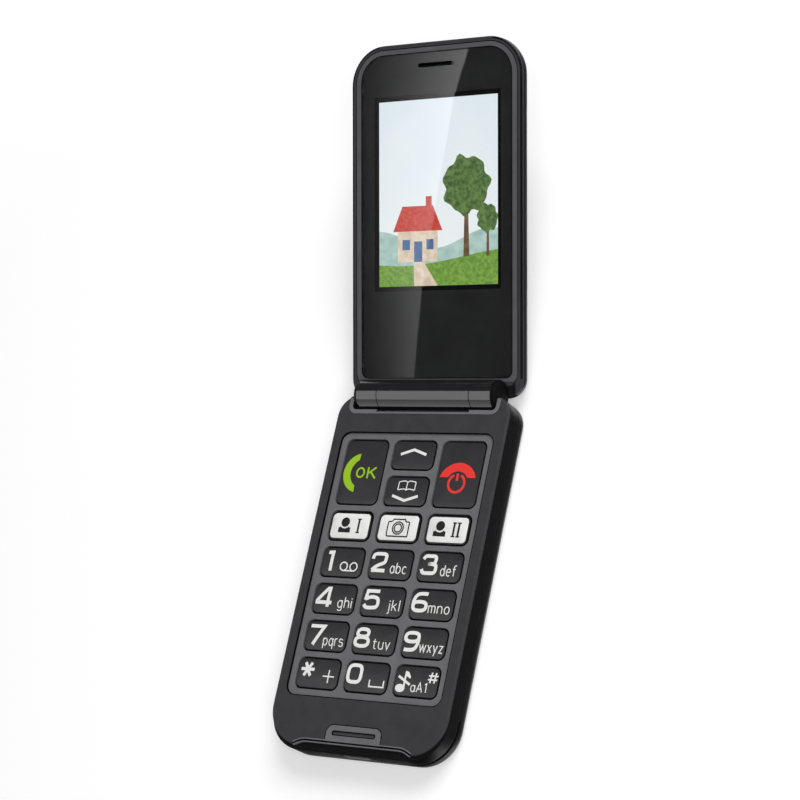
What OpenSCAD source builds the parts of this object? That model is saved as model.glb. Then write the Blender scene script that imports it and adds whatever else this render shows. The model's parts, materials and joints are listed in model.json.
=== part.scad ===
// Flip phone with a numeric keypad, lying open on its back.
// Millimetres. X runs to the phone's right, Y from the tail of the base to the hinge, Z up.
// The origin is the middle of the base on its flat back face.

/* [Keypad] */
// Distance between the key columns
key_pitch_x = 14.86; // [13.5:0.02:16]
// Distance between the key rows
key_pitch_y = 9.85; // [9:0.05:11]
// Width of the frame bars between the keys
key_bar = 1.38; // [1:0.02:2]
// Gap round each key in its opening
key_clear = 0.25; // [0.1:0.01:0.3]
// Corner radius of the key openings
key_corner_r = 2; // [1:0.1:3]
// Rounding of the keys' upper edges
key_edge_r = 0.3; // [0.1:0.05:0.5]
// Travel of a key
key_travel = 0.35; // [0.2:0.05:0.6]
// Reach of a key's retaining flange under the frame
key_flange = 0.35; // [0.2:0.05:0.45]
// Thickness of a key's retaining flange
key_flange_t = 0.45; // [0.3:0.05:0.7]
// Height of the key tops over their frame
key_proud = 0.25; // [0.1:0.05:0.5]
// Depth of the key tops under the front face
key_sunk = 0.3; // [0.2:0.05:0.6]
// Keypad frame beyond its outer key cells
frame_margin = 0.95; // [0.6:0.05:2]
// Thickness of the keypad frame
frame_t = 0.85; // [0.6:0.05:1.2]
// Reach of the frame's flange under the front housing
frame_flange = 0.9; // [0.5:0.05:1]
// Corner radius of the keypad frame
frame_corner_r = 2.6; // [1.5:0.1:4]

/* [Base] */
// Rim from the keypad frame to the side of the base
rim_w = 3.06; // [2.8:0.02:5]
// Length of the front beyond the keypad frame at the tail
tail_land = 12.73; // [11:0.01:16]
// Reach of the chassis beyond the front at the tail
tail_chin = 1.1; // [0.6:0.05:1.5]
// Distance from the keypad frame to the hinge bay
head_land = 5.3; // [5:0.05:9]
// Corner radius of the base at the tail
tail_corner_r = 10; // [7:0.5:12]
// Corner radius of the base at the hinge
head_corner_r = 6; // [5:0.1:7]
// Rounding of the back's edges
base_edge_r = 2.6; // [2:0.1:3.2]
// Straight band of the back cover above its rounding
cover_land = 1.9; // [1.6:0.05:2.1]
// Wall of the back cover
cover_t = 1.1; // [0.8:0.05:1.4]
// Wall of the base chassis
chassis_wall = 1.3; // [1:0.05:1.5]
// Floor of the base chassis between battery and board
floor_t = 0.65; // [0.5:0.05:1]
// Thickness of the front housing
front_t = 0.8; // [0.6:0.05:0.9]
// Rounding of the front housing's edge
front_edge_r = 0.4; // [0.2:0.05:0.5]
// Locating lip of the front housing inside the chassis
front_lip_t = 0.6; // [0.4:0.05:0.65]
// Depth of that lip
front_lip_h = 0.8; // [0.4:0.05:1.2]
// Cut-back of the front edge at the tail
scoop_d = 1.4; // [0.8:0.05:1.6]
// Half width of that cut-back at its bottom
scoop_half = 14.2; // [12:0.1:15]
// Run of its two curved ends
scoop_run = 5.6; // [4:0.1:6]
// Width of the microphone tab
tab_w = 16.4; // [14:0.1:20]
// Length of the microphone tab
tab_l = 4.4; // [4:0.1:6]
// Thickness of the microphone tab
tab_t = 1.3; // [1:0.05:1.6]
// Length of the slot in the tab
tab_slot_l = 13.2; // [10:0.1:14]
// Width of the slot in the tab
tab_slot_w = 1.3; // [0.8:0.05:1.8]
// Depth of the slot in the tab
tab_slot_d = 0.5; // [0.3:0.05:0.8]
// Height of the pry slot over the back cover
pry_h = 0.8; // [0.5:0.05:1]
// Depth of the pry slot
pry_d = 0.8; // [0.5:0.05:1]
// Reach of the pry slot along each side of its corner
pry_run = 12; // [8:0.5:16]

// Width of the grooves round inset pieces and along the parting lines
groove = 0.25; // [0.15:0.05:0.35]

/* [Base inside] */
// Clearance between seated pieces
fit = 0.05; // [0.03:0.01:0.08]
// Gap over and under the battery
battery_gap = 0.15; // [0.1:0.05:0.3]
// Width of the battery
battery_w = 36; // [32:0.5:38]
// Length of the battery
battery_l = 54; // [48:0.5:54]
// Thickness of the battery
battery_t = 3.95; // [3.6:0.05:5]
// Wall of the battery bay
bay_wall = 1; // [0.6:0.05:1.4]
// Thickness of the main board
board_t = 0.8; // [0.6:0.05:1]
// Height of the key domes with their sheet
dome_t = 0.4; // [0.3:0.05:0.6]
// Sheet under the domes
dome_sheet_t = 0.12; // [0.08:0.01:0.15]
// Radius of a key dome
dome_r = 2.1; // [1.5:0.1:2.5]
// Thickness of the key mat
mat_t = 0.3; // [0.2:0.05:0.5]
// Radius of a housing screw
screw_r = 0.65; // [0.5:0.05:0.8]
// Radius of a housing screw's head
screw_head_r = 1.4; // [1.2:0.05:1.6]
// Height of a housing screw's head
screw_head_h = 0.8; // [0.5:0.05:1]
// Radius of a screw boss
boss_r = 1.7; // [1.4:0.05:1.8]
// Width of the charging port
port_w = 7.5; // [7:0.1:9]
// Height of the charging port
port_h = 2.5; // [2.3:0.05:2.7]
// Length of the charging port
port_l = 5.4; // [5:0.1:6]
// Shell of the charging port
port_shell = 0.3; // [0.2:0.05:0.4]
// Length of the loudspeaker
speaker_l = 14; // [12:0.5:15]
// Width of the loudspeaker
speaker_w = 10; // [8:0.5:11]
// Depth of the loudspeaker
speaker_t = 3.2; // [2.5:0.1:3.6]
// Radius of the vibration motor
motor_r = 4; // [3:0.1:4.2]
// Thickness of the vibration motor
motor_t = 2.7; // [2:0.1:3.4]
// Length of the SIM holder
sim_l = 15; // [14:0.5:16]
// Width of the SIM holder
sim_w = 13; // [12:0.5:14]
// Height of the SIM holder
sim_t = 1.4; // [1:0.1:2]

/* [Hinge] */
// Distance from the front edge of the hinge bay to the axis
bay_depth = 5.97; // [5.7:0.01:6.5]
// Rim round the hinge bay
bay_rim = 1.2; // [0.9:0.05:1.3]
// Corner radius of the hinge bay
bay_corner_r = 2.4; // [1.8:0.1:3]
// Floor of the hinge bay
bay_floor = 1.1; // [0.8:0.05:1.3]
// Base left outside the hinge bay on each side
ear_w = 3.1; // [2.8:0.05:4]
// Overhang of the axis beyond the end of the base
axis_overhang = 0.66; // [0.4:0.02:1]
// Depth of the axis under the front face of the base
hinge_drop = 2.15; // [1.9:0.05:2.4]
// Gap between the faces of the closed phone
closed_gap = 0.49; // [0.35:0.01:0.8]
// Rise of the open lid over the plane of the base, in degrees
open_lift = 21.6; // [15:0.1:30]
// Radius of the hinge barrel
barrel_r = 4.14; // [3.9:0.02:4.2]
// Half length of the lid's knuckle
knuckle_half = 14.1; // [12:0.1:15]
// Depth of the neck between the lid and its knuckle
knuckle_neck = 2.4; // [2:0.05:2.8]
// Gap between the knuckles
knuckle_gap = 0.2; // [0.15:0.05:0.4]
// Length and rounding of an end cap
cap_l = 1.3; // [1:0.1:1.6]
// Space round the lid's knuckle in its cradle
cradle_clear = 0.35; // [0.3:0.05:0.5]
// Slot in front of the lid's knuckle
knuckle_slot = 5.35; // [5.2:0.05:5.5]
// Radius of the bores in the knuckles
hinge_bore_r = 2.4; // [2.2:0.05:2.6]
// Running clearance of the hinge pins
run_fit = 0.07; // [0.03:0.01:0.1]
// Radius of the cam's shaft
shaft_r = 0.9; // [0.7:0.05:1.1]
// Wall of the pivot sleeve
sleeve_t = 0.6; // [0.4:0.05:0.8]
// Reach of the cam inside the lid's knuckle
pin_reach = 5; // [3:0.1:6]
// Length of the cam follower
follower_l = 1.8; // [1.4:0.1:2.2]

/* [Lid] */
// Length of the front beyond the closed lid
tail_lip = 2.36; // [1.5:0.02:3.5]
// Reach of the lid's skirt behind the axis
lid_skirt = 0.8; // [0.4:0.05:1]
// Thickness of the lid
lid_t = 5.6; // [5.3:0.05:6]
// Corner radius at the lid's tip
lid_corner_r = 10.2; // [8:0.1:12]
// Corner radius at the lid's skirt
skirt_corner_r = 5; // [4.6:0.1:6]
// Rounding of the lid's rear edges
lid_edge_r = 4.2; // [3.6:0.1:4.4]
// Straight band of the rear cover above its rounding
lid_land = 0.3; // [0.2:0.05:0.6]
// Wall of the rear cover
lid_wall = 1.1; // [0.8:0.05:1.3]
// Space round the hinge barrel in the lid
pocket_clear = 0.3; // [0.3:0.02:0.6]
// Cheek of the lid outside the hinge pocket
cheek_w = 2.1; // [1.8:0.05:2.4]
// Outer rim of the lid frame at the sides
lid_rim = 1.5; // [1.3:0.05:2]
// Outer rim of the lid frame at the tip
lid_rim_tip = 1.35; // [1.2:0.05:2]
// Carrier plate of the lid frame
plate_t = 0.7; // [0.6:0.05:0.9]
// Bezel strip beside the lens
bezel_w = 1.6; // [1.2:0.05:2]
// Bezel strip at the tip
bezel_tip = 1.35; // [1:0.05:2]
// Distance from the axis to the foot of the lens
lens_foot = 4.55; // [4.3:0.05:5]
// Corner radius at the foot of the lens
lens_foot_r = 2; // [1:0.1:3]
// Gap round the lens
lens_gap = 0.12; // [0.05:0.01:0.2]
// Thickness of the lens
lens_t = 0.9; // [0.6:0.05:0.95]
// Thickness of the printed film under the lens
film_t = 0.1; // [0.05:0.01:0.12]
// Depth of the lens under the bezel
lens_sunk = 0.02; // [0.01:0.01:0.05]

/* [Lid inside] */
// Width of the picture area
display_w = 36.72; // [34:0.02:38]
// Height of the picture area
display_h = 48.96; // [46:0.02:50]
// Distance from the tip of the lid to the picture
display_land = 14.8; // [14:0.05:16]
// Depth of the picture under the lid's face
display_depth = 1.48; // [1.4:0.02:1.7]
// Border of the display panel at the sides and the tip
display_border = 1.7; // [1.4:0.05:2]
// Border of the display panel at its foot
display_foot = 3.5; // [2:0.1:5]
// Film edge inside the display panel's edge
film_lap = 0.45; // [0.3:0.05:0.7]
// Thickness of the display panel
panel_t = 0.9; // [0.7:0.05:1.1]
// Thickness of the backlight
backlight_t = 1.2; // [1:0.05:1.3]
// Thickness of the lid board
lid_board_t = 0.6; // [0.4:0.05:0.65]
// Length of the earpiece slot
ear_slot_l = 10.4; // [8:0.1:14]
// Width of the earpiece slot
ear_slot_w = 1.05; // [0.8:0.05:1.4]
// Distance from the tip of the lid to the earpiece slot
ear_land = 6; // [5.6:0.05:7]
// Length of the earpiece
ear_l = 14; // [12:0.5:16]
// Width of the earpiece
ear_w_in = 6; // [4:0.1:6.4]
// Depth of the earpiece
ear_t = 2.1; // [1.5:0.1:2.4]
// Gap between the camera and the display's foot
camera_gap = 1; // [0.5:0.25:3]
// Radius of the camera window
camera_r = 3.3; // [2.5:0.1:4]
// Width of the trim ring round the camera window
camera_ring_w = 1; // [0.6:0.1:1.5]
// Height of the trim ring over the rear cover
camera_ring_h = 0.15; // [0.05:0.05:0.3]
// Side of the camera module
camera_side = 8.5; // [7:0.1:9]
// Radius of a lid screw
lid_screw_r = 0.55; // [0.4:0.05:0.6]
// Radius of a lid screw's head
lid_screw_head_r = 1.25; // [1:0.05:1.4]
// Height of a lid screw's head
lid_screw_head_h = 0.4; // [0.25:0.05:0.5]
// Radius of a lid screw's boss
lid_boss_r = 1.4; // [1.2:0.05:1.6]
// Width of the flex cable
flex_w = 4; // [3:0.1:5]
// Thickness of the flex cable
flex_t = 0.15; // [0.1:0.01:0.2]

/* [Hidden] */
$fn = 64;

// Small distances: overlap of shapes that make one piece, reach of a cut past the faces that it opens,
// hair that keeps a round end short of a half circle, air round loose pieces, space between pieces
join = 0.1;
over = 1;
hair = 0.05;
air = 0.3;
part_gap = 1;

key_columns = 3;
key_rows = 7;

// Each key: name, column, first row, rows that it spans
KEYS = [
    ["call_key", 0, 0, 2],
    ["up_key", 1, 0, 1],
    ["down_key", 1, 1, 1],
    ["end_key", 2, 0, 2],
    ["contact_key_1", 0, 2, 1],
    ["camera_key", 1, 2, 1],
    ["contact_key_2", 2, 2, 1],
    ["key_1", 0, 3, 1],
    ["key_2", 1, 3, 1],
    ["key_3", 2, 3, 1],
    ["key_4", 0, 4, 1],
    ["key_5", 1, 4, 1],
    ["key_6", 2, 4, 1],
    ["key_7", 0, 5, 1],
    ["key_8", 1, 5, 1],
    ["key_9", 2, 5, 1],
    ["key_star", 0, 6, 1],
    ["key_0", 1, 6, 1],
    ["key_hash", 2, 6, 1],
];

// Colours as the object shows them
shell_grey = [0.25, 0.25, 0.26];
side_black = [0.14, 0.14, 0.15];
trim_grey = [0.42, 0.42, 0.43];
key_black = [0.19, 0.19, 0.20];
key_white = [0.91, 0.91, 0.92];
lens_black = [0.10, 0.10, 0.11];
steel = [0.72, 0.73, 0.75];
board_green = [0.10, 0.32, 0.20];
sheet_amber = [0.72, 0.48, 0.16];
mat_grey = [0.55, 0.56, 0.58];
picture_blue = [0.62, 0.74, 0.82];
tray_white = [0.93, 0.93, 0.90];
window_black = [0.05, 0.05, 0.07];
can_grey = [0.78, 0.80, 0.82];

// Plan of the base
frame_w = key_columns * key_pitch_x + 2 * frame_margin;
frame_l = key_rows * key_pitch_y + 2 * frame_margin;
base_w = frame_w + 2 * rim_w;
base_l = tail_chin + tail_land + frame_l + head_land + bay_depth - axis_overhang;
tail_y = -base_l / 2;
head_y = base_l / 2;
front_tail_y = tail_y + tail_chin;
frame_tail_y = front_tail_y + tail_land;
frame_head_y = frame_tail_y + frame_l;
frame_mid_y = (frame_tail_y + frame_head_y) / 2;
bay_y = frame_head_y + head_land;
bay_half = base_w / 2 - ear_w;
tail_wall = tail_chin + scoop_d + chassis_wall / 2;

// Heights in the base, from the back up
battery_z = cover_t + battery_gap;
floor_z = battery_z + battery_t + battery_gap;
board_z = floor_z + floor_t;
dome_z = board_z + board_t;
mat_z = dome_z + dome_t;
key_float = 0.05;
key_z = mat_z + mat_t + key_travel + key_float;
frame_z = key_z + key_flange_t + key_float;
frame_top_z = frame_z + frame_t;
key_top_z = frame_top_z + key_proud;
base_t = key_top_z + key_sunk;
front_z = base_t - front_t;
split_z = base_edge_r + cover_land;

// Places of the pieces inside the base
battery_head_y = frame_head_y - 2 * bay_wall;
battery_tail_y = battery_head_y - battery_l;
battery_mid_y = (battery_head_y + battery_tail_y) / 2;
battery_corner_r = 1;
port_drop = 0.5;
port_z = (board_z + dome_z) / 2 - port_drop;
port_y = tail_y + air;
port_corner_r = 0.8;
boss_inset = boss_r + part_gap / 2;
tail_boss_y = front_tail_y + tail_land / 2;
head_boss_y = bay_y - boss_inset;
boss_x = frame_w / 2 - boss_inset;
BOSSES = [for (sx = [-1, 1]) for (y = [tail_boss_y, head_boss_y]) [sx * boss_x, y]];
tail_row_y = (battery_tail_y - 2 * bay_wall + tail_boss_y + screw_head_r) / 2;
motor_x = 0;
speaker_x = motor_x + motor_r + part_gap + speaker_l / 2;
sim_x = motor_x - motor_r - part_gap - sim_l / 2;
MIC = [4, 3, 1.2];
mic_x = port_w / 2 + part_gap / 2 + MIC[0] / 2;
contact_w = 9;
contact_l = 2.2;
contact_t = 2.6;
tab_tail_y = front_tail_y + scoop_d;
tab_slot_share = 0.55;
tab_slot_y = tab_tail_y + tab_slot_share * tab_l;
tab_foot_r = 0.2;
tab_head_r = 2;

// Hinge axis, and the lid's own frame round it: u runs to the tip, w out of the lid's face
hinge_y = bay_y + bay_depth;
hinge_z = base_t - hinge_drop;
barrel_half = bay_half - bay_rim - 2 * fit;
knuckle_end = barrel_half - cap_l;
side_knuckle = knuckle_half + knuckle_gap;
pin_r = hinge_bore_r - run_fit;
spigot_l = 0.8;
cam_lap = 1;
cam_face_x = side_knuckle + cam_lap;
follower_x = cam_face_x + air;
pin_end_x = knuckle_end - spigot_l - air;
spring_gap = 0.2;
spring_room = 0.5;
pocket_r = barrel_r + pocket_clear;

lid_w = base_w;
lid_tip = hinge_y - front_tail_y - tail_lip;
face_w = -(hinge_drop + closed_gap);
rear_w = face_w - lid_t;
lid_split_w = rear_w + lid_edge_r + lid_land;
lid_floor_w = rear_w + lid_wall;
cavity_u = pocket_r + lid_wall + fit;
pocket_half = lid_w / 2 - cheek_w;
bezel_half = lid_w / 2 - lid_rim;
bezel_top_u = lid_tip - lid_rim_tip;
bezel_foot_u = lens_foot - bezel_w - part_gap / 2;
lens_half = bezel_half - bezel_w;
lens_top_u = bezel_top_u - bezel_tip;
bezel_corner_r = lid_corner_r - lid_rim;
lens_corner_r = bezel_corner_r - bezel_w;
lens_top_w = face_w - lens_sunk;
film_top_w = lens_top_w - lens_t;
film_low_w = film_top_w - film_t;
plate_low_w = lid_split_w - plate_t;

// Places of the pieces inside the lid
display_top_u = lid_tip - display_land;
display_foot_u = display_top_u - display_h;
panel_half = display_w / 2 + display_border;
panel_top_u = display_top_u + display_border;
panel_foot_u = display_foot_u - display_foot;
panel_top_w = face_w - display_depth;
panel_low_w = panel_top_w - panel_t;
backlight_low_w = panel_low_w - backlight_t;
lid_board_low_w = backlight_low_w - lid_board_t;
ear_u = lid_tip - ear_land;
ear_corner_r = 1;
mesh_t = 0.15;
mesh_top_w = film_low_w - join;
mesh_low_w = mesh_top_w - mesh_t;
ear_top_w = mesh_low_w;
camera_low_w = lid_floor_w + join;
lid_boss_land = 0.9;
lid_boss_inset = lid_boss_r + lid_boss_land;
lid_boss_x = lid_w / 2 - lid_wall - lid_boss_inset;
lid_boss_foot_u = cavity_u + lid_boss_inset + part_gap / 2;
lid_boss_tip_u = lid_tip - lid_corner_r - part_gap;
LID_BOSSES = [for (sx = [-1, 1]) for (u = [lid_boss_foot_u, lid_boss_tip_u]) [sx * lid_boss_x, u]];
socket_l = 3;
socket_t = 0.9;
socket_u = panel_foot_u - socket_l - part_gap;
camera_u = panel_foot_u - camera_gap - camera_side / 2;
lid_board_top_w = lid_board_low_w + lid_board_t;

// Flex cable: beside the camera, off its roll in the barrel nearly at a tangent, then flat to the socket
flex_room = 0.2;
flex_x = camera_side / 2 + part_gap / 2 + flex_w / 2;
sleeve_x = flex_x + flex_w / 2 + part_gap / 2;
flex_roll_r = pin_r - sleeve_t - flex_t;
flex_low_w = lid_board_top_w + socket_t;
flex_end = [cavity_u + flex_t, flex_low_w + flex_t / 2];
flex_offset = 0.9 * (flex_roll_r - flex_t / 2);
flex_angle = atan2(flex_end[1], flex_end[0]) + asin(flex_offset / norm(flex_end));
flex_run = sqrt(norm(flex_end) * norm(flex_end) - flex_offset * flex_offset);

// Plane shapes

// Outline between y0 and y1 with corner radius r0 at y0 and r1 at y1
module plan(w, y0, y1, r0, r1) {
    translate([-w / 2, y0 + r0]) square([w, y1 - r1 - y0 - r0]);
    translate([-w / 2 + r0, y0]) square([w - 2 * r0, y1 - r1 - y0]);
    translate([-w / 2 + r1, y0 + r0]) square([w - 2 * r1, y1 - y0 - r0]);
    for (sx = [-1, 1]) {
        translate([sx * (w / 2 - r0), y0 + r0]) circle(r0);
        translate([sx * (w / 2 - r1), y1 - r1]) circle(r1);
    }
}

module round_rect(w, h, r) {
    plan(w, -h / 2, h / 2, r, r);
}

// Outline of the base, drawn in by inset
module base_plan(inset) {
    plan(base_w - 2 * inset, tail_y + inset, head_y - inset, tail_corner_r - inset, head_corner_r - inset);
}

// Inside of the chassis wall, which is thicker at the tail, drawn in by inset
module inner_plan(inset) {
    plan(base_w - 2 * (chassis_wall + inset), tail_y + tail_wall + inset, head_y - chassis_wall - inset,
        tail_corner_r - chassis_wall - inset, head_corner_r - chassis_wall - inset);
}

// Outline of the hinge bay, which runs out over the head of the base
module bay_plan(grow) {
    plan(2 * (bay_half + grow), bay_y - grow, head_y + over, bay_corner_r + grow, hair);
}

// Outline of the lid in its own frame, drawn in by inset
module lid_plan(inset) {
    plan(lid_w - 2 * inset, -lid_skirt + inset, lid_tip - inset,
        skirt_corner_r - inset, lid_corner_r - inset);
}

module bezel_plan(grow) {
    plan(2 * (bezel_half + grow), bezel_foot_u - grow, bezel_top_u + grow,
        lens_foot_r + bezel_w + grow, bezel_corner_r + grow);
}

module lens_plan(grow) {
    plan(2 * (lens_half + grow), lens_foot - grow, lens_top_u + grow,
        lens_foot_r + grow, lens_corner_r + grow);
}

// Solids used more than once

// Section of a slab from its middle to its side, with its lower outer edge rounded
module slab_section(reach, h, edge) {
    intersection() {
        square([reach, h]);
        union() {
            translate([0, edge]) square([reach, h]);
            square([reach - edge, h]);
            translate([reach - edge, edge]) circle(edge);
        }
    }
}

// Slab on z = 0 with the outline of plan() and its lower edge rounded all round
module slab(w, y0, y1, r0, r1, h, edge) {
    translate([0, y1 - r1, 0]) rotate([90, 0, 0]) linear_extrude(y1 - r1 - y0 - r0) {
        slab_section(w / 2, h, edge);
        mirror([1, 0]) slab_section(w / 2, h, edge);
    }
    translate([w / 2 - r0, y0 + r0, 0]) rotate([90, 0, -90])
        linear_extrude(w - 2 * r0) slab_section(r0, h, edge);
    translate([r1 - w / 2, y1 - r1, 0]) rotate([90, 0, 90])
        linear_extrude(w - 2 * r1) slab_section(r1, h, edge);
    for (side = [0, 1]) mirror([side, 0, 0]) {
        translate([w / 2 - r1, y1 - r1, 0]) rotate_extrude(angle = 90) slab_section(r1, h, edge);
        translate([w / 2 - r0, y0 + r0, 0]) rotate([0, 0, -90])
            rotate_extrude(angle = 90) slab_section(r0, h, edge);
    }
}

// The same slab hung from z = 0 with its upper edge rounded
module slab_under(w, y0, y1, r0, r1, h, edge) {
    mirror([0, 0, 1]) slab(w, y0, y1, r0, r1, h, edge);
}

// Block between two corners
module block(low, high) {
    translate(low) cube(high - low);
}

// Cylinder along X on the hinge axis
module axle(x0, x1, r) {
    translate([x0, 0, 0]) rotate([0, 90, 0]) cylinder(h = x1 - x0, r = r);
}

module at_hinge() {
    translate([0, hinge_y, hinge_z]) children();
}

module both_sides() {
    for (side = [0, 1]) mirror([side, 0, 0]) children();
}

// Places of the screws in the base at height z
module at_bosses(z) {
    for (b = BOSSES) translate([b[0], b[1], z]) children();
}

// Places of the screws in the lid at height w
module at_lid_bosses(w) {
    for (b = LID_BOSSES) translate([b[0], b[1], w]) children();
}

// Frame of the lid at its open rest
module on_lid() {
    at_hinge() rotate([open_lift, 0, 0]) children();
}

// Hinge pocket of the lid, round the whole barrel
module lid_pocket() {
    axle(-pocket_half, pocket_half, pocket_r);
}

// Seat of the lid's knuckle in the lid's skirt
module knuckle_foot(grow) {
    block([-knuckle_half - grow, 0, rear_w + lid_edge_r / 2 - grow],
        [knuckle_half + grow, cavity_u - lid_wall / 2 + grow, lid_split_w + grow]);
}

// Keypad

function key_x(k) = (k[1] - (key_columns - 1) / 2) * key_pitch_x;
function key_y(k) = frame_head_y - frame_margin - (k[2] + k[3] / 2) * key_pitch_y;
function key_w() = key_pitch_x - key_bar;
function key_h(k) = k[3] * key_pitch_y - key_bar;

module key_outline(k, grow) {
    translate([key_x(k), key_y(k)])
        round_rect(key_w() + 2 * grow, key_h(k) + 2 * grow, key_corner_r + grow);
}

function key_colour(k) = k[2] == 2 ? key_white : key_black;

module key_cap(k) {
    w = key_w() - 2 * key_clear;
    h = key_h(k) - 2 * key_clear;
    color(key_colour(k)) {
        translate([key_x(k), key_y(k), key_top_z])
            slab_under(w, -h / 2, h / 2, key_corner_r, key_corner_r, key_top_z - key_z, key_edge_r);
        translate([0, 0, key_z]) linear_extrude(key_flange_t) key_outline(k, key_flange);
    }
}

module keypad_frame() {
    color(trim_grey) difference() {
        translate([0, frame_mid_y, frame_z]) {
            linear_extrude(frame_t) round_rect(frame_w, frame_l, frame_corner_r);
            linear_extrude(front_z - fit - frame_z)
                round_rect(frame_w + 2 * frame_flange, frame_l + 2 * frame_flange,
                    frame_corner_r + frame_flange);
        }
        for (k = KEYS)
            translate([0, 0, frame_z - over]) linear_extrude(frame_t + 2 * over) key_outline(k, 0);
    }
}

module key_mat() {
    color(mat_grey) translate([0, frame_mid_y, mat_z])
        linear_extrude(mat_t) round_rect(frame_w, frame_l, frame_corner_r);
}

module dome_sheet() {
    cap_h = dome_t - dome_sheet_t;
    ball_r = (dome_r * dome_r + cap_h * cap_h) / (2 * cap_h);
    color(sheet_amber) {
        translate([0, frame_mid_y, dome_z])
            linear_extrude(dome_sheet_t) round_rect(frame_w, frame_l, frame_corner_r);
        for (k = KEYS) translate([key_x(k), key_y(k), dome_z]) intersection() {
            translate([0, 0, dome_t - ball_r]) sphere(ball_r);
            cylinder(h = dome_t, r = dome_r);
        }
    }
}

// Base shells

module battery_cover() {
    color(side_black) difference() {
        slab(base_w, tail_y, head_y, tail_corner_r, head_corner_r, split_z, base_edge_r);
        translate([0, 0, cover_t]) slab(base_w - 2 * cover_t, tail_y + cover_t, head_y - cover_t,
            tail_corner_r - cover_t, head_corner_r - cover_t, split_z, base_edge_r - cover_t);
        at_hinge() axle(-bay_half, bay_half, barrel_r + cradle_clear);
        pry_slot();
        speaker_slots();
    }
}

// Pry slot round the right tail corner, cut into the upper edge of the cover
module pry_slot() {
    translate([0, 0, split_z - pry_h]) linear_extrude(pry_h + over) intersection() {
        difference() {
            base_plan(-over);
            base_plan(pry_d);
        }
        translate([base_w / 2 - pry_run, tail_y - over]) square([pry_run + over, pry_run + over]);
    }
}

module speaker_slots() {
    slot_count = 5;
    slot_share = 0.7;
    slot_pitch = speaker_w / (slot_count + 1);
    for (i = [1:slot_count])
        translate([speaker_x, tail_row_y - speaker_w / 2 + i * slot_pitch, -over])
            linear_extrude(cover_t + 2 * over)
                square([speaker_l * slot_share, slot_pitch / 2], center = true);
}

module base_chassis() {
    color(side_black) difference() {
        union() {
            translate([0, 0, split_z]) linear_extrude(front_z - split_z) difference() {
                base_plan(0);
                inner_plan(0);
            }
            translate([0, 0, floor_z]) linear_extrude(floor_t) base_plan(chassis_wall / 2);
            battery_bay();
        }
        cradle_space();
        tab_space();
        charge_port_space();
        for (z = [split_z - over, front_z - groove])
            translate([0, 0, z]) linear_extrude(over + groove) edge_ring();
        at_bosses(floor_z - over) cylinder(h = floor_t + 2 * over, r = screw_r + fit);
    }
}

// Outer edge of the base, as deep as a parting groove
module edge_ring() {
    difference() {
        base_plan(-over);
        base_plan(groove);
    }
}

// Room for the hinge cradle at the head of the base
module cradle_space() {
    linear_extrude(base_t + over) bay_plan(fit);
}

// Room for the microphone tab
module tab_space() {
    translate([0, 0, base_t - tab_t - fit]) linear_extrude(tab_t + fit + over) tab_plan(groove);
}

// Wall round the battery under the chassis floor, open where the contacts stand
module battery_bay() {
    low_z = battery_z + part_gap;
    room_w = battery_w + 2 * battery_gap;
    room_l = battery_l + 2 * battery_gap;
    translate([0, battery_mid_y, low_z]) linear_extrude(floor_z + floor_t / 2 - low_z) difference() {
        round_rect(room_w + 2 * bay_wall, room_l + 2 * bay_wall, battery_corner_r + bay_wall);
        round_rect(room_w, room_l, battery_corner_r);
        translate([-contact_w / 2 - fit, -battery_l]) square([contact_w + 2 * fit, battery_l]);
    }
}

// Room for the charging port in the chassis and the board
module charge_port_space() {
    block([-port_w / 2 - fit, tail_y - over, port_z - port_h / 2 - fit],
        [port_w / 2 + fit, port_y + port_l + fit, port_z + port_h / 2 + fit]);
}

module front_housing() {
    color(shell_grey) difference() {
        union() {
            translate([0, 0, base_t])
                slab_under(base_w, front_tail_y, head_y, tail_corner_r, head_corner_r, front_t, front_edge_r);
            translate([0, 0, front_z - front_lip_h]) linear_extrude(front_lip_h + front_t / 2) difference() {
                inner_plan(fit);
                inner_plan(fit + front_lip_t);
            }
            at_bosses(board_z) cylinder(h = base_t - front_t / 2 - board_z, r = boss_r);
        }
        translate([0, frame_mid_y, front_z - over]) linear_extrude(front_t + 2 * over)
            round_rect(frame_w + 2 * groove, frame_l + 2 * groove, frame_corner_r + groove);
        cradle_space();
        tail_scoop();
        tab_space();
        at_bosses(board_z - over) cylinder(h = front_z - board_z + over, r = screw_r + fit);
    }
}

// Shallow cut-back of the front edge, with an S-curve of two arcs at each end
module tail_scoop() {
    depth = scoop_d + join;
    curve_r = (scoop_run * scoop_run + depth * depth) / (4 * depth);
    low_y = tail_y - over;
    reach = front_tail_y + scoop_d - low_y;
    translate([0, 0, front_z - front_lip_h]) linear_extrude(front_t + front_lip_h + over) {
        translate([-scoop_half, low_y]) square([2 * scoop_half, reach]);
        for (side = [0, 1]) mirror([side, 0]) {
            intersection() {
                translate([scoop_half, low_y]) square([scoop_run / 2, reach]);
                translate([scoop_half, front_tail_y + scoop_d - curve_r]) circle(curve_r);
            }
            difference() {
                translate([scoop_half + scoop_run / 2, low_y]) square([scoop_run / 2, reach]);
                translate([scoop_half + scoop_run, front_tail_y - join + curve_r]) circle(curve_r);
            }
        }
    }
}

module tab_plan(grow) {
    plan(tab_w + 2 * grow, tab_tail_y - grow, tab_tail_y + tab_l + grow,
        tab_foot_r + grow, tab_head_r + grow);
}

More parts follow.
